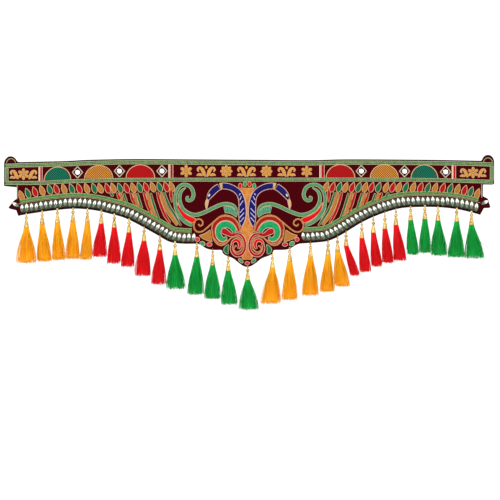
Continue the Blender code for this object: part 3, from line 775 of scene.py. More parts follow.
# out from the sprig's stem, drop from the window's middle, width, in shares of the window's half height
CURLED_LEAF = (
    (0.10, 0.86, 0.12), (0.34, 0.52, 0.42), (0.50, 0.06, 0.52), (0.74, -0.38, 0.44), (1.18, -0.56, 0.30),
    (1.42, -0.22, 0.22), (1.22, 0.06, 0.10),
)
SMALL_LEAF = ((0.62, 0.74, 0.08), (0.92, 0.60, 0.34), (1.24, 0.56, 0.36), (1.56, 0.72, 0.06))


MIDDLE_WINDOW_PLACES = np.linspace(-126.0, 115.0, 7)
END_WINDOW_PLACES = (-451.0, 447.5)
GOLD_HEIGHT = 2.2


def add_flower(pile, x, drop, radius, petals, height):
    """A flower of padded petals round a boss."""
    for petal in range(petals):
        angle = math.radians(90 + 360 * petal / petals)
        aside = radius * math.cos(angle)
        rise = radius * math.sin(angle)
        rows = [(x + far * aside, drop - far * rise, radius * wide * 1.32) for far, wide in PETAL]
        add_corded_strip(pile, rows, height, 0, 1, 0.6, 1.0)
    add_boss(pile, x, drop, radius * 0.21, radius * 0.21, 0, height * 1.2)


def add_sprig(pile, x, drop, size, side):
    """One side of a sprig: a tall curling leaf with a small leaf at its foot."""
    for leaf in (CURLED_LEAF, SMALL_LEAF):
        rows = [(x + side * size * out, drop + size * down, size * wide) for out, down, wide in leaf]
        add_corded_strip(pile, rows, GOLD_HEIGHT, 0, 1, 0.65, 1.0)


def room_at(x, clear):
    """The middle drop of a window at one x, and half its height less what stays clear."""
    high, low = window(x)
    return (high + low) / 2, (low - high) / 2 - clear


pile = heap()
for place, x in enumerate(MIDDLE_WINDOW_PLACES):
    middle, size = room_at(x, 1.2)
    if place % 2:
        for side in (-1, 1):
            add_sprig(pile, x, middle, size, side)
        add_boss(pile, x, middle - size * 0.66, 2.6, 3.4, 0, GOLD_HEIGHT)
    else:
        add_flower(pile, x, middle, size, 8 if place in (2, 4) else 6, GOLD_HEIGHT)
for x in END_WINDOW_PLACES:
    middle, size = room_at(x, 1.6)
    add_flower(pile, x, middle, size * 0.92, 6, 2.0)
    for side in (-1, 1):
        add_sprig(pile, x + side * size * 0.78, middle, size * 0.9, side)
finishes = ("window gold satin", "pale gold cord")
gold_ornament = make_piece("gold_padded_ornament", pile, finishes)
print("triangles:", triangles(gold_ornament))

# %% [markdown]
# ## The row of leaves
# Under the bar hangs a row of small satin leaves in gold, green and red. Each one is a padded drop with
# its own cord, and it leans away from the middle. Their places were measured one by one, as no sewn row
# is quite even.

# %% The row of leaves
# x, drop, colour
LEAVES = (
    (-455.6, 71.8, "gold"), (-442.6, 67.0, "green"), (-428.4, 64.2, "red"), (-414.0, 61.6, "gold"),
    (-398.8, 59.6, "green"), (-385.4, 58.8, "red"), (-370.2, 58.4, "gold"), (-354.8, 58.0, "green"),
    (-340.0, 57.6, "red"), (-324.8, 57.2, "gold"), (-310.0, 57.2, "green"), (-297.6, 57.2, "gold"),
    (-283.4, 57.2, "red"), (-271.8, 56.8, "gold"), (-258.4, 56.8, "green"), (-245.2, 56.8, "red"),
    (-232.0, 56.0, "gold"), (-219.2, 55.6, "green"), (-206.2, 55.2, "red"), (-192.8, 54.8, "gold"),
    (-179.4, 54.8, "green"), (-166.0, 54.4, "red"), (-155.2, 54.0, "gold"), (154.2, 54.0, "gold"),
    (166.8, 54.8, "red"), (180.2, 55.2, "green"), (192.6, 55.2, "gold"), (206.0, 55.2, "red"),
    (219.0, 55.2, "green"), (231.8, 55.2, "gold"), (244.8, 55.2, "red"), (258.6, 55.2, "green"),
    (273.8, 55.2, "gold"), (286.8, 55.2, "red"), (299.2, 55.2, "gold"), (313.2, 55.2, "green"),
    (327.8, 55.2, "gold"), (342.6, 55.6, "red"), (357.4, 56.0, "green"), (371.8, 56.4, "gold"),
    (387.0, 56.8, "red"), (402.2, 57.6, "green"), (416.6, 58.8, "gold"), (430.4, 61.2, "red"),
    (443.2, 63.8, "green"), (456.2, 67.8, "gold"),
)
# share of the leaf's length from its tip, width in mm
LEAF_SHAPE = ((0.0, 0.3), (0.16, 4.6), (0.36, 8.4), (0.58, 10.2), (0.78, 9.2), (0.92, 5.8), (1.0, 1.8))
LEAF_LENGTH = 21.2
LEAF_LEAN = 20.0
colours = ("gold", "green", "red")
satins = [colour + " satin" for colour in colours]
lean = math.radians(LEAF_LEAN)
pile = heap()
for x, drop, colour in LEAVES:
    aside = math.copysign(LEAF_LENGTH * math.sin(lean), x)
    fall = LEAF_LENGTH * math.cos(lean)
    rows = [(x + (0.5 - far) * aside, drop - (0.5 - far) * fall, wide) for far, wide in LEAF_SHAPE]
    add_corded_strip(pile, rows, 1.5, colours.index(colour), 3, 0.75, 1.2)
satin_leaves = make_piece("satin_leaves", pile, (*satins, "pale gold cord"))
print("leaves:", len(LEAVES), "triangles:", triangles(satin_leaves))

# %% [markdown]
# ## Feathers
# Between the leaves and the scallop braid, bundles of satin stripes sweep down like feathers. Each bundle
# holds a red, a gold and a green stripe with a pale cord between them, and dark velvet shows between two
# bundles.

# %% Feathers
# colour; out, drop and width down the stripe
FEATHERS = (
    ("green", (
        (174.8, 65.2, 2.4), (171.0, 79.0, 3.8), (165.2, 95.0, 3.8), (158.8, 107.8, 3.8),
        (142.2, 132.0, 2.2),
    )),
    ("gold", (
        (181.6, 66.4, 4.0), (176.6, 85.4, 5.8), (169.6, 101.4, 6.0), (161.4, 116.0, 6.0),
        (150.8, 130.8, 3.6),
    )),
    ("red", (
        (189.2, 65.6, 3.0), (185.0, 81.6, 4.6), (179.2, 98.2, 4.6), (172.8, 113.2, 4.4),
        (164.6, 126.8, 2.4),
    )),
    ("green", ((202.4, 67.2, 2.4), (195.4, 92.8, 3.8), (186.0, 118.0, 2.2))),
    ("gold", ((209.6, 66.2, 3.6), (203.0, 90.8, 5.8), (194.6, 113.4, 3.2))),
    ("red", ((216.0, 66.2, 3.0), (209.8, 87.6, 4.4), (202.4, 108.2, 2.4))),
    ("green", ((229.2, 67.2, 2.4), (224.8, 82.8, 3.8), (219.6, 97.4, 2.2))),
    ("gold", ((236.0, 66.8, 3.6), (232.2, 80.8, 5.6), (227.2, 94.8, 2.8))),
    ("red", ((242.4, 66.8, 3.0), (238.4, 80.0, 4.2), (233.2, 91.2, 2.0))),
    ("green", ((255.8, 68.0, 2.4), (253.2, 76.8, 3.8), (249.8, 84.8, 2.0))),
    ("gold", ((263.0, 66.8, 3.2), (261.4, 74.8, 4.8), (258.8, 83.4, 2.4))),
    ("red", ((268.8, 66.6, 2.6), (266.8, 73.6, 3.8), (264.2, 80.4, 1.6))),
    ("green", ((282.8, 66.0, 2.0), (280.4, 69.6, 4.4), (277.4, 73.6, 2.0))),
    ("red", ((163.2, 62.0, 4.4), (163.4, 70.8, 4.8), (162.8, 78.8, 2.8), (162.0, 85.2, 0.8))),
)
# out and drop of the two ends of each short stitch
HATCHING = (
    (150.8, 113.6, 146.8, 120.4), (153.2, 109.2, 148.4, 116.0), (155.2, 104.8, 150.8, 112.4),
    (156.8, 100.4, 153.2, 107.6), (158.0, 96.4, 155.6, 102.4),
)
# the padding makes each stripe this much wider than its measured face
PADDED_WIDER = 0.9
for side, name in SIDES:
    pile = heap()
    for colour, rows in FEATHERS:
        rows = on_side(rows, side) + (0, 0, PADDED_WIDER)
        add_corded_strip(pile, rows, 1.4, colours.index(colour), 3, 0.55)
    for row in HATCHING:
        add_cord(pile, on_side((row[:2], row[2:]), side), 0.6, FRONT + 0.3, 4)
    finishes = (*satins, "pale gold cord", "pale twisted edge")
    make_piece("satin_feathers_" + name, pile, finishes)
print("stripes on each side:", len(FEATHERS))

# %% [markdown]
# ## The birds
# Two long-necked birds stand back to back. A neck is a blue padded strip that swings over into the head.
# A tan wedge rings it, the breast carries slanting lilac bars, and the beak is a thin tan strip under a
# bead of an eye.

# %% The birds
# out, drop, width: the blue of a bird from its tail up to the ring, and from the ring to the beak
BREAST = (
    (12.3, 135.2, 0.8), (11.4, 125.8, 9.0), (10.4, 116.0, 13.4), (9.7, 104.6, 14.4), (10.4, 88.6, 13.0),
    (12.6, 76.6, 11.6), (18.0, 66.2, 11.2), (27.0, 58.8, 11.0), (38.0, 54.2, 11.4), (47.6, 52.9, 12.0),
    (51.2, 53.0, 12.2),
)
HEAD = (
    (58.8, 54.8, 12.2), (65.4, 58.6, 12.6), (72.2, 64.8, 12.6), (77.4, 71.0, 10.6), (80.6, 76.6, 7.0),
    (82.6, 80.4, 3.0),
)
BEAK = ((82.4, 79.4, 4.4), (84.0, 84.6, 5.8), (85.0, 90.4, 5.2), (85.0, 95.2, 3.2), (84.6, 98.6, 1.0))
NECK_RING = ((55.2, 46.8, 7.2), (54.4, 53.0, 5.2), (53.6, 60.4, 2.6))
# out and drop at the upper end, then at the lower end
BARS = (
    (14.4, 67.6, 16.4, 71.4), (12.0, 73.4, 15.4, 81.0), (8.6, 82.2, 15.6, 92.0), (7.2, 97.6, 15.0, 106.4),
    (6.6, 106.4, 16.0, 116.4), (6.8, 115.6, 14.4, 124.6),
)
BAR_WIDTH = 1.7
# out, drop
EYE = (79.2, 71.4)
PUPIL = (82.4, 74.8)
for side, name in SIDES:
    pile = heap()
    for rows in (BREAST, HEAD):
        add_corded_strip(pile, on_side(rows, side), 2.0, 0, 1, 0.8)
    add_strip(pile, on_side(NECK_RING, side), 2.4, FRONT, 3)
    add_corded_strip(pile, on_side(BEAK, side), 1.6, 3, 1, 0.6)
    for upper_out, upper_drop, lower_out, lower_drop in BARS:
        bar = on_side(((upper_out, upper_drop, BAR_WIDTH), (lower_out, lower_drop, BAR_WIDTH)), side)
        add_strip(pile, bar, 0.8, FRONT + 1.6, 5, ready=True)
    eye, pupil = on_side((EYE, PUPIL), side)
    add_boss(pile, *eye, 2.0, 3.8, side * 24, 2.4, 2)
    add_boss(pile, *pupil, 1.3, 2.6, side * 16, 2.6, 4)
    finishes = ("blue satin", "pale pink cord", "pale satin", "tan satin", "near black cloth and painted fold shade", "lilac thread")
    make_piece("blue_bird_" + name, pile, finishes, "bird_" + name)
print("bars on each breast:", len(BARS))

# %% [markdown]
# ## The gold patch between the birds
# A gold patch with a belly and two waists runs down the middle line. Four small drops in red and green
# crown it.

# %% The gold patch between the birds
# drop, whole width
PATCH = (
    (57.0, 24.0), (60.0, 25.0), (66.0, 19.0), (76.0, 9.6), (88.0, 4.2), (98.0, 2.0), (108.0, 2.2),
    (118.0, 5.0), (126.0, 10.4), (134.0, 19.0), (141.0, 23.0), (147.0, 21.0), (154.0, 11.0), (163.0, 4.6),
    (174.0, 3.2), (184.0, 7.6), (191.0, 17.0), (195.6, 21.0), (199.6, 15.0),
)
# out, drop, place of the finish
DROPS = ((-13.8, 52.6, 2), (-4.6, 49.0, 3), (4.6, 49.2, 2), (13.8, 52.8, 3))
pile = heap()
rows = [(ORNAMENT_MIDDLE_X, drop, width) for drop, width in PATCH]
add_corded_strip(pile, rows, 1.4, 0, 1, 0.7)
for out, drop, finish in DROPS:
    x = ORNAMENT_MIDDLE_X + out
    add_boss(pile, x, drop, 3.0, 5.0, 0, 1.8, finish)
    add_cord(pile, oval(x, drop, 3.5, 5.5), 0.6, FRONT + 0.3, 1, closed=True)
finishes = ("orange gold satin", "pale gold cord", "bright red satin", "bright green satin")
make_piece("gold_middle_patch", pile, finishes, "finial")
print("drops over the patch:", len(DROPS))

# %% [markdown]
# ## Scrolls of the middle
# On each side of the birds a light green band runs out from under the breast, swings round the end of the
# ornament and comes back to a curl. Under it a thick gold rope arches over a green crescent, winds once
# round itself at its outer end, and below it turns into a red spiral. They are all strips again, only
# longer.

# %% Scrolls of the middle
# out, drop, width
INNER_BAND = (
    (21.2, 110.8, 2.8), (23.6, 98.8, 4.8), (29.6, 92.0, 6.0), (39.6, 89.2, 6.4), (49.6, 89.2, 6.4),
    (59.6, 92.0, 6.4), (69.6, 96.2, 6.4), (81.6, 102.0, 6.4), (97.0, 108.2, 6.4), (107.2, 110.6, 6.4),
    (116.8, 109.6, 6.4), (126.2, 106.0, 6.4), (135.2, 100.4, 6.4), (141.6, 92.0, 6.2), (145.2, 80.8, 6.0),
    (144.4, 70.0, 5.4), (139.6, 62.0, 4.0), (130.4, 56.2, 1.2),
)
OUTER_BAND = (
    (123.6, 74.4, 2.4), (127.6, 75.6, 4.0), (127.2, 80.4, 4.8), (122.0, 82.0, 5.6), (116.0, 78.8, 6.0),
    (113.0, 72.0, 6.2), (113.8, 64.4, 6.2), (117.6, 56.6, 6.2), (125.2, 51.4, 6.0), (136.4, 50.2, 6.0),
    (145.2, 54.0, 6.2), (151.6, 61.6, 6.2), (155.2, 72.8, 5.6), (155.8, 84.0, 5.4), (154.0, 95.8, 6.0),
    (148.0, 107.6, 7.0), (139.2, 118.0, 7.2), (127.6, 126.4, 6.8), (116.4, 131.6, 4.8),
)
RED_CRESCENT = (
    (150.4, 86.0, 1.0), (147.6, 95.6, 4.4), (141.6, 104.4, 6.4), (132.8, 112.2, 8.4), (122.4, 118.2, 10.0),
    (113.6, 121.6, 10.4), (108.8, 122.8, 8.0),
)
TEAL_LEAF = (
    (22.4, 114.8, 1.2), (26.8, 107.6, 8.0), (34.0, 101.8, 12.0), (41.6, 100.0, 13.2), (47.4, 100.8, 12.0),
)
ARCH_ROPE = (
    (13.4, 146.0), (17.6, 130.4), (26.8, 118.0), (37.6, 112.8), (46.8, 111.6), (57.6, 114.8), (70.0, 124.8),
    (82.8, 135.6), (95.2, 144.0), (106.4, 143.6), (112.4, 134.4), (110.4, 123.6), (102.0, 118.8),
    (94.4, 122.4), (93.2, 129.2), (98.8, 132.8), (102.8, 128.8),
)
ARCH_UNDERLINE = (
    (16.8, 144.0, 4.8), (22.4, 130.4, 6.8), (32.0, 120.6, 8.0), (45.6, 117.4, 8.4), (58.8, 121.4, 8.4),
    (68.2, 131.2, 8.0), (70.4, 144.0, 6.4), (66.4, 156.8, 4.4), (58.4, 165.2, 3.6), (48.4, 166.4, 3.2),
    (40.8, 161.2, 2.0),
)
GREEN_CRESCENT = (
    (26.8, 145.2, 6.8), (28.4, 139.2, 9.6), (34.8, 132.4, 11.6), (46.0, 129.6, 12.8), (56.4, 134.0, 12.0),
    (60.4, 143.6, 10.8), (58.8, 153.2, 10.4), (52.4, 159.2, 8.8), (46.4, 158.6, 6.8), (43.6, 154.4, 3.2),
)
RED_SWIRL = (
    (52.4, 142.0, 8.4), (47.2, 143.6, 12.0), (40.4, 147.2, 9.6), (33.2, 150.8, 6.8), (24.8, 149.6, 4.8),
)
RED_SPIRAL = (
    (29.6, 150.0, 4.0), (18.8, 148.6, 4.4), (10.8, 152.8, 4.8), (5.6, 162.0, 4.8), (4.2, 173.6, 4.8),
    (6.8, 183.6, 5.2), (14.0, 190.8, 5.6), (24.0, 191.2, 5.6), (31.2, 184.0, 5.2), (32.8, 174.8, 4.4),
    (29.6, 168.0, 2.8),
)
SPIRAL_ROPE = (
    (73.2, 140.0), (71.6, 153.6), (66.8, 164.0), (59.2, 170.4), (50.4, 170.8), (42.0, 165.6), (34.4, 157.6),
    (25.2, 154.0), (16.0, 156.4), (10.8, 163.6), (10.0, 173.6), (14.0, 182.0), (21.6, 185.2), (28.0, 180.8),
    (26.8, 174.8), (21.6, 172.0),
)
BRIGHT_COMMA = (
    (33.6, 170.8, 1.2), (30.4, 164.8, 4.0), (24.0, 160.8, 5.6), (17.6, 163.6, 6.0), (15.4, 170.8, 5.6),
    (18.4, 178.0, 3.2),
)
GOLD_CORNER = (
    (75.6, 152.6, 24.0), (81.2, 153.4, 18.8), (88.0, 153.8, 12.4), (94.8, 153.0, 6.0), (100.0, 152.0, 1.0),
)
LOWER_LEAF = ((38.8, 170.0, 1.0), (43.4, 177.2, 7.6), (44.0, 182.0, 9.2), (40.8, 188.4, 2.8))
# strip, finish, cord, height of the padding
SCROLLS = (
    (INNER_BAND, "light green scroll", "pale twisted edge", 1.6),
    (OUTER_BAND, "light green scroll", "pale twisted edge", 1.8),
    (RED_CRESCENT, "bright red satin", "pale gold cord", 1.6),
    (TEAL_LEAF, "teal satin", "pale twisted edge", 1.6),
    (ARCH_UNDERLINE, "deep red satin", "pale gold cord", 1.0),
    (GREEN_CRESCENT, "bright green satin", "pale pink cord", 2.2),
    (RED_SWIRL, "red satin", "pale pink cord", 2.2),
    (RED_SPIRAL, "red satin", "pale pink cord", 1.6),
    (BRIGHT_COMMA, "bright red satin", "pale pink cord", 1.6),
    (GOLD_CORNER, "gold satin", "pale gold cord", 1.4),
    (LOWER_LEAF, "green satin", "pale twisted edge", 1.6),
)
ROPE_RADIUS = 0.8
finishes = sorted({finish for row in SCROLLS for finish in row[1:3]} | {"gold rope", "peach rope"})
for side, name in SIDES:
    pile = heap()
    for rows, fill, cord, height in SCROLLS:
        add_corded_strip(pile, on_side(rows, side), height, finishes.index(fill), finishes.index(cord), 0.75)
    for line in (ARCH_ROPE, SPIRAL_ROPE):
        line = even(smooth(on_side(line, side)), 1.0)
        for reach, finish in ((-side * ROPE_RADIUS, "peach rope"), (side * ROPE_RADIUS, "gold rope")):
            strand = beside(line, reach)
            place = finishes.index(finish)
            add_cord(pile, strand, ROPE_RADIUS, FRONT + 0.9, place, 0.9, 8, lay=0.22, pitch=4.4)
    make_piece("padded_scroll_" + name, pile, finishes, "scroll_" + name)
print("strips in each scroll:", len(SCROLLS))

# %% [markdown]
# ## Jewels of the lobes
# Red and green glass jewels follow the edge of each lobe, and two green ones and a red one fill the tip.
# Each sits in a ring of pale cord.

# %% Jewels of the lobes
# out, drop, half width, half height, tilt in degrees, colour
JEWELS = (
    (75.6, 169.8, 4.9, 3.3, 0, "red"), (89.4, 168.0, 5.2, 3.7, 32, "green"),
    (99.4, 159.6, 3.8, 3.8, 0, "red"), (12.8, 202.4, 5.4, 2.6, 42, "green"),
)
JEWEL_HEIGHT = 2.2
TIP_JEWEL_DROP = 207.4
TABLE_CUT = ((1.0, -0.1), (0.98, 0.4), (0.7, 1.0), (0.01, 1.0))
grained("red glass", (150, 0, 8), (206, 6, 22), 0.3, 0.0, 0.25, 60, depth=0.05)
grained("green glass", (0, 100, 44), (20, 160, 76), 0.3, 0.0, 0.25, 60, depth=0.05)


def add_jewel(pile, x, drop, half_wide, half_high, tilt, finish):
    """A table-cut jewel in a ring of cord."""
    add_boss(pile, x, drop, half_wide, half_high, tilt, JEWEL_HEIGHT, finish, 16, TABLE_CUT)
    ring = oval(x, drop, half_wide + 0.4, half_high + 0.4, tilt)
    add_cord(pile, ring, 0.7, FRONT + 0.4, 2, closed=True)


pile = heap()
for side in (-1, 1):
    for out, drop, half_wide, half_high, tilt, colour in JEWELS:
        x = ORNAMENT_MIDDLE_X + side * out
        add_jewel(pile, x, drop, half_wide, half_high, side * tilt, colour == "green")
add_jewel(pile, ORNAMENT_MIDDLE_X, TIP_JEWEL_DROP, 4.0, 2.8, 0, 0)
make_piece("lobe_jewels", pile, ("red glass", "green glass", "pale pink cord"))
print("jewels:", 2 * len(JEWELS) + 1)

# %% [markdown]
# ## Stones
# A row of pointed white stones lies along the scallops. Each is a faceted marquise in a dark foil
# setting, and leans a little. The table and the upper facets are painted white as a painted bright
# reflection, and the lower facets smoky green as a painted dark reflection, standing in for a cut stone
# that sends the light of the room away from below. One more stone lies in each fish tail.

# %% Stones
# white for the table and upper facets is a painted bright reflection; smoky green for the lower facets is a
# painted dark reflection
grained("stone with painted bright reflection", (244, 244, 232), (255, 255, 250), 0.06, 0.0, 0.5, 30, depth=0.02)
grained("facet with painted dark reflection", (24, 38, 26), (140, 156, 130), 0.12, 0.1, 0.3, 420, depth=0.02)
grained("dark foil setting", (16, 18, 12), (84, 88, 70), 0.5, 0.2, 0.2, 420)
STONE_HALF_WIDTH = 4.0
STONE_HALF_LENGTH = 8.6
STONE_LEAN = 8.0
STONE_PITCH = 9.7
STONE_ROW_WIDTH = 16.6
STONE_ROW_ABOVE_HEM = 12.6
STONE_ROW_OUTER_END = 454.0
STONE_ROW_INNER_END = {-1: 107.0, 1: 112.0}
# x, drop and turn of the one stone in each fish tail
STONE_IN_TAIL = {-1: (-466.4, 90.2, -62.0), 1: (471.0, 85.8, 62.0)}
# share of the stone's size, height over the velvet: from the setting up to the table
STONE_RINGS = ((1.1, -0.1), (1.08, 0.9), (0.95, 1.0), (0.64, 2.6), (0.01, 2.8))
# how far the table lies towards the upper end, as a share of the half length
TABLE_RAISED = 0.42
# share of the half width, share of the half length, from the upper end round to the right
MARQUISE = (
    (0.0, 1.0), (0.62, 0.62), (1.0, 0.04), (0.74, -0.52), (0.0, -1.0), (-0.74, -0.52), (-1.0, 0.04),
    (-0.62, 0.62),
)


def add_stone(pile, x, drop, turn, size):
    """A faceted stone in its setting; "turn" is the angle of its long axis from upright, in degrees."""
    angle = math.radians(turn)
    shape = np.array(MARQUISE) * (STONE_HALF_WIDTH * size, STONE_HALF_LENGTH * size)
    rings = []
    for share, level in STONE_RINGS:
        flat = shape * share + (0.0, max(0.0, 1 - share) * STONE_HALF_LENGTH * TABLE_RAISED)
        ring_x = x + flat[:, 0] * math.cos(angle) + flat[:, 1] * math.sin(angle)
        ring_z = -drop + flat[:, 1] * math.cos(angle) - flat[:, 0] * math.sin(angle)
        rings.append(np.stack([ring_x, np.full(len(shape), -(FRONT + level)), ring_z], 1))
    rings = np.stack(rings)
    add_grid(pile, rings[:3], 2, round_about=True, sharp=True)
    add_grid(pile, rings[2:], 0, round_about=True, sharp=True)
    # the lower facets get the painted dark reflection, the table and upper facets keep the painted bright
    # reflection
    facets = pile["finish"][-1].reshape(2, len(shape))
    facets[0, 2:6] = 1
    facets[1, 3:5] = 1


for side, name in SIDES:
    pile = heap()
    line = over_hem(side, STONE_ROW_ABOVE_HEM, STONE_ROW_INNER_END[side], STONE_ROW_OUTER_END)
    line = even(line, STONE_PITCH)
    add_strip(pile, with_width(line, STONE_ROW_WIDTH), 0.5, FRONT, 2, ready=True)
    for spot, normal in zip(line, normals_of(line)):
        upright = normal if normal[1] < 0 else -normal
        turn = math.degrees(math.atan2(upright[0], -upright[1])) - side * STONE_LEAN + chance.normal(0, 4)
        add_stone(pile, spot[0], spot[1] + chance.normal(0, 0.5), turn, chance.uniform(0.93, 1.05))
    add_stone(pile, *STONE_IN_TAIL[side], 0.95)
    finishes = ("stone with painted bright reflection", "facet with painted dark reflection", "dark foil setting")
    make_piece("faceted_stones_" + name, pile, finishes, "stones_" + name)
    print("stones on the", name, len(line) + 1)

# %% [markdown]
# ## Fine lines
# A beaded pale line runs between the braid and the stones, and a cord of the same colour closes each end
# of the lower panel.

# %% Fine lines
BEADED_LINE_ABOVE_HEM = 23.0
BEADED_LINE_ENDS = (111.0, 462.0)
# x, upper drop, lower drop
END_CORDS = ((-463.8, 51.5, 79.0), (464.6, 49.5, 76.0))
pile = heap()
for side, name in SIDES:
    line = over_hem(side, BEADED_LINE_ABOVE_HEM, *BEADED_LINE_ENDS)
    add_cord(pile, line, 0.55, FRONT + 0.4, spacing=0.9, lay=0.3, pitch=2.6)
for x, high, low in END_CORDS:
    add_cord(pile, ((x, high), (x, low)), 0.9, FRONT + 0.3)
fine_lines = make_piece("fine_lines", pile, ("dull twisted edge",))
print("triangles:", triangles(fine_lines))

# %% [markdown]
# ## Tassels
# Thirty tassels hang from the hem. The head is turned metal: a cone cap, a collar, a hollow bead, and a
# wire link with a small bead on it, which is sewn to the hem. Under the cap the skirt is real thread.
# Each thread is a thin tube that starts packed inside the cap, fans out to its own place on the foot, and
# ends a little higher or lower than its neighbours. A soft core of the same thread keeps daylight from
# showing through the middle.

# %% The heads and skirts of the tassels
# x of the cap, drop of the cap's rim, left and right side of the foot, drop of the foot, thread
TASSELS = (
    (-445.0, 136.0, -465.0, -424.5, 206.5, "yellow"), (-413.5, 130.0, -423.0, -394.5, 203.0, "yellow"),
    (-383.0, 126.0, -393.0, -367.5, 200.0, "yellow"), (-352.0, 125.0, -366.5, -338.5, 198.5, "yellow"),
    (-323.0, 126.0, -337.5, -314.0, 199.5, "yellow"), (-295.5, 128.5, -312.5, -284.5, 193.5, "red"),
    (-269.5, 136.0, -283.5, -256.5, 207.0, "red"), (-240.0, 146.0, -255.5, -229.5, 213.5, "red"),
    (-210.0, 163.0, -228.5, -196.0, 232.0, "red"), (-178.5, 181.0, -195.0, -166.5, 249.0, "red"),
    (-148.0, 191.5, -165.5, -127.5, 258.0, "green"), (-104.5, 195.0, -123.0, -91.0, 269.0, "green"),
    (-73.0, 211.5, -90.0, -57.0, 278.0, "green"), (-42.0, 222.0, -56.0, -23.0, 289.0, "green"),
    (-3.0, 240.5, -20.0, 19.0, 299.5, "green"), (46.5, 217.0, 23.0, 64.0, 287.5, "yellow"),
    (81.0, 203.5, 65.0, 95.5, 280.0, "yellow"), (122.5, 195.0, 105.5, 138.0, 271.0, "yellow"),
    (157.5, 191.0, 141.5, 169.5, 264.0, "yellow"), (176.5, 183.5, 170.5, 201.0, 253.0, "yellow"),
    (193.5, 172.5, 202.0, 220.0, 231.0, "red"), (225.0, 157.0, 221.0, 243.0, 224.0, "red"),
    (248.0, 146.5, 244.0, 265.0, 213.0, "red"), (271.0, 139.0, 266.0, 288.0, 206.0, "red"),
    (293.0, 131.0, 289.0, 314.0, 201.5, "red"), (322.5, 121.5, 315.0, 338.0, 189.5, "green"),
    (351.0, 119.0, 339.0, 362.0, 186.0, "green"), (377.0, 122.0, 363.0, 395.5, 191.5, "green"),
    (414.5, 124.5, 396.5, 429.0, 195.0, "green"), (444.0, 130.5, 430.0, 469.5, 197.0, "green"),
)
THREADS = 190
THREAD_RADIUS = 0.45
# radius, height over the cap's rim
CAP = (
    (4.0, 0.6), (5.2, 0.0), (5.4, 0.6), (5.2, 1.2), (4.8, 1.6), (4.8, 2.8), (4.0, 8.0), (3.1, 12.4),
    (3.2, 13.0), (3.0, 13.6), (2.0, 14.0), (1.6, 14.8), (2.4, 15.3), (2.4, 15.9), (1.6, 16.3), (2.6, 16.8),
    (3.4, 17.9), (3.7, 19.2), (3.4, 20.5), (2.6, 21.6), (1.4, 22.0), (0.8, 22.3),
)
SEWN_BEAD = ((0.05, -2.6), (1.7, -2.0), (2.6, 0.0), (1.7, 2.0), (0.05, 2.6))
SEWN_BEAD_OVER_RIM = 26.2
grained("gilt metal", (138, 96, 32), (248, 216, 132), 0.22, 0.75, 0.5, 200, depth=0.1)
# a darker gilt, used only for the wire link
grained("darker gilt", (96, 66, 26), (180, 140, 64), 0.35, 0.7, 0.5, 300)
# thread, dark shade, light shade; the dark streaks are partly the thread's own tone and partly painted shade
# between strands
THREAD_SHADES = (
    ("yellow", (252, 148, 0), (255, 204, 30)),
    ("red", (206, 0, 4), (255, 8, 28)),
    ("green", (0, 124, 34), (12, 200, 84)),
)
# upright streaks of the two shades: partly real thread tone, partly painted shade between the strands
for name, dark, light in THREAD_SHADES:
    grained(name + " thread", dark, light, 0.55, 0.0, 0.2, 620, (1, 1, 0.03), 0.25)
# the one thread that sticks out, by x and drop
STRAY_TASSEL = 30
STRAY_THREAD = ((453.0, 157.0), (466.0, 168.4), (477.6, 176.2))
TASSEL_PROUD = FRONT + 2.4
ROOT_RADIUS = 4.6
ROOT_INSIDE_CAP = 0.6
FOOT_FORWARD = 4.2
FOOT_HALF_DEPTH = 7.4
POINTS_DOWN = 9
CORE_LENGTH = 0.93
CORE_ROOT_RADIUS = 3.2
CORE_FOOT_HALF_DEPTH = 5.6
LINK_RADIUS = 0.8
LINK_FOOT = 22.4
LINK_OVER_HEM = 3.0


def add_threads(pile, root, foot_left, foot_right, foot_drop):
    """The thread skirt of one tassel, whose root is x, y, z in mm."""
    turn = math.pi * (3 - math.sqrt(5)) * np.arange(THREADS)
    far = ((np.arange(THREADS) + 0.5) / THREADS) ** 0.4
    half = (foot_right - foot_left) / 2 + 0.6
    length = foot_drop + root[2]
    reach = far * (1 + chance.normal(0, 0.03, THREADS))
    lean = (foot_left + foot_right) / 2 - root[0]
    end_x = (half * reach * np.cos(turn))[:, None]
    end_y = (FOOT_HALF_DEPTH * reach * np.sin(turn))[:, None] - FOOT_FORWARD
    end_z = 4.0 * far**2 * chance.uniform(-0.2, 1.0, THREADS) + chance.normal(0, 1.3, THREADS) - length
    share = np.linspace(0.0, 1.0, POINTS_DOWN)
    spread = np.sin(math.pi / 2 * share) ** 1.25
    bends = 3 + chance.uniform(0, 3, THREADS)[:, None]
    sway = np.sin(share * bends + chance.uniform(0, 6, THREADS)[:, None])
    sway *= share * chance.uniform(0.2, 1.0, THREADS)[:, None]
    packed_x = ROOT_RADIUS * (far * np.cos(turn))[:, None] * (1 - spread)
    packed_y = ROOT_RADIUS * (far * np.sin(turn))[:, None] * (1 - spread)
    x = root[0] + lean * share + packed_x + end_x * spread + sway
    y = root[1] + packed_y + end_y * spread
    z = root[2] + ROOT_INSIDE_CAP + (end_z - ROOT_INSIDE_CAP)[:, None] * share
    angle = np.radians((90.0, 210.0, 330.0))
    thick = THREAD_RADIUS * (1 - 0.35 * share[:, None])
    for strand in range(THREADS):
        grid = np.zeros((POINTS_DOWN, 3, 3))
        grid[..., 0] = x[strand][:, None] + thick * np.cos(angle)
        grid[..., 1] = y[strand][:, None] - thick * np.sin(angle)
        grid[..., 2] = z[strand][:, None]
        add_grid(pile, grid, 0, round_about=True)
    part = np.linspace(0.0, CORE_LENGTH, 6)[:, None]
    angle = np.linspace(0.0, 2 * math.pi, 14, endpoint=False)
    wide = CORE_ROOT_RADIUS * (1 - part) + half * 0.8 * part
    deep = CORE_ROOT_RADIUS * (1 - part) + CORE_FOOT_HALF_DEPTH * part
    core = np.zeros((6, 14, 3))
    core[..., 0] = root[0] + lean * part + wide * np.cos(angle)
    core[..., 1] = root[1] - FOOT_FORWARD * part + deep * np.sin(angle)
    core[..., 2] = root[2] - length * part
    add_grid(pile, core, 0, round_about=True)


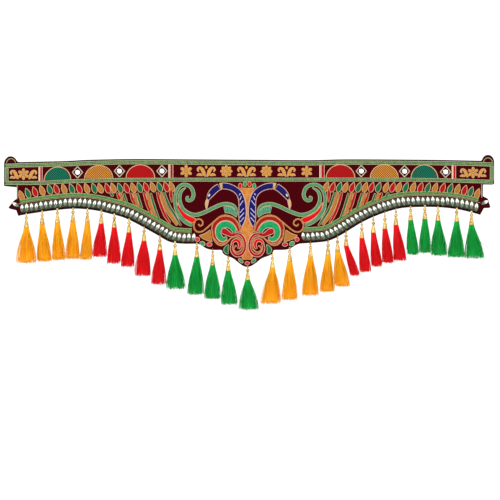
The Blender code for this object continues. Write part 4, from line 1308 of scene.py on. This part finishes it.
for number, (cap_x, rim_drop, foot_left, foot_right, foot_drop, thread) in enumerate(TASSELS, 1):
    name = f"tassel_{number:02d}"
    root = (cap_x, -TASSEL_PROUD, -rim_drop)
    pile = heap()
    add_threads(pile, root, foot_left, foot_right, foot_drop)
    if number == STRAY_TASSEL:
        add_cord(pile, STRAY_THREAD, 0.3, TASSEL_PROUD, spacing=2.0)
    make_piece(name + "_threads", pile, (thread + " thread",), name)
    pile = heap()
    add_turned(pile, CAP, *root)
    hem_rise = rim_drop - drop_at(hem_line, cap_x) + LINK_OVER_HEM
    link = ((LINK_RADIUS, LINK_FOOT), (LINK_RADIUS, max(hem_rise, SEWN_BEAD_OVER_RIM)))
    add_turned(pile, link, *root, 1, 10)
    add_turned(pile, np.array(SEWN_BEAD) + (0.0, SEWN_BEAD_OVER_RIM), *root, 0, 14)
    make_piece(name + "_head", pile, ("gilt metal", "darker gilt"))
print("tassels:", len(TASSELS), "with", THREADS, "threads each")

# %% [markdown]
# ## The panel hangs flat
# The panel is the only cloth that hangs free. It is cut flat and stays flat, so its flat size is its
# width by its drop, and the cut area is the area that was measured above.

# %% [markdown]
# ## Studio
# The toran hangs against white, lit softly from the front with a brighter lamp at the upper left, which
# gives the cords their small shadows and the metal its glints. The camera looks straight on from four
# metres.

# %% Studio
bpy.ops.mesh.primitive_plane_add(size=4.4, location=(0.0, 0.0, -1.0))
floor = bpy.context.object
floor.name = "floor"
grained("pale floor", (230, 230, 228), (233, 233, 231), 0.9, grain=20, depth=0.001)
floor.data.materials.append(FINISHES["pale floor"])
floor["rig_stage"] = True

world = bpy.data.worlds.new("white studio")
world.use_nodes = True
world.node_tree.nodes["Background"].inputs["Color"].default_value = (1.0, 1.0, 1.0, 1.0)
world.node_tree.nodes["Background"].inputs["Strength"].default_value = 1.12
bpy.context.scene.world = world
bpy.context.scene.view_settings.view_transform = "Standard"

# name, place, size in m, power in W
LAMPS = (
    ("key", (-1.3, -2.2, 1.3), 0.9, 30.0),
    ("fill", (1.4, -2.6, -0.2), 1.4, 16.0),
)
for name, place, size, power in LAMPS:
    lamp = bpy.data.lights.new(name, "AREA")
    lamp.size = size
    lamp.energy = power
    lamp_object = bpy.data.objects.new(name, lamp)
    lamp_object.location = place
    aim = Vector((0.0, 0.0, -0.15)) - Vector(place)
    lamp_object.rotation_euler = aim.to_track_quat("-Z", "Y").to_euler()
    bpy.context.scene.collection.objects.link(lamp_object)

camera = bpy.data.cameras.new("front camera")
camera.lens = 144.0
camera.sensor_width = 36.0
camera_object = bpy.data.objects.new("front camera", camera)
camera_object.location = (0.0016, -4.0, -0.1808)
camera_object.rotation_euler = (math.pi / 2, 0.0, 0.0)
bpy.context.scene.collection.objects.link(camera_object)
bpy.context.scene.camera = camera_object
print("lamps:", len(LAMPS))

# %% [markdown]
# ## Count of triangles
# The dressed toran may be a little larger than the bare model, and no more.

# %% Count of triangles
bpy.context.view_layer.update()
total = sum(triangles(piece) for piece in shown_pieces() if "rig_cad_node" not in piece)
print("triangles in all:", total)
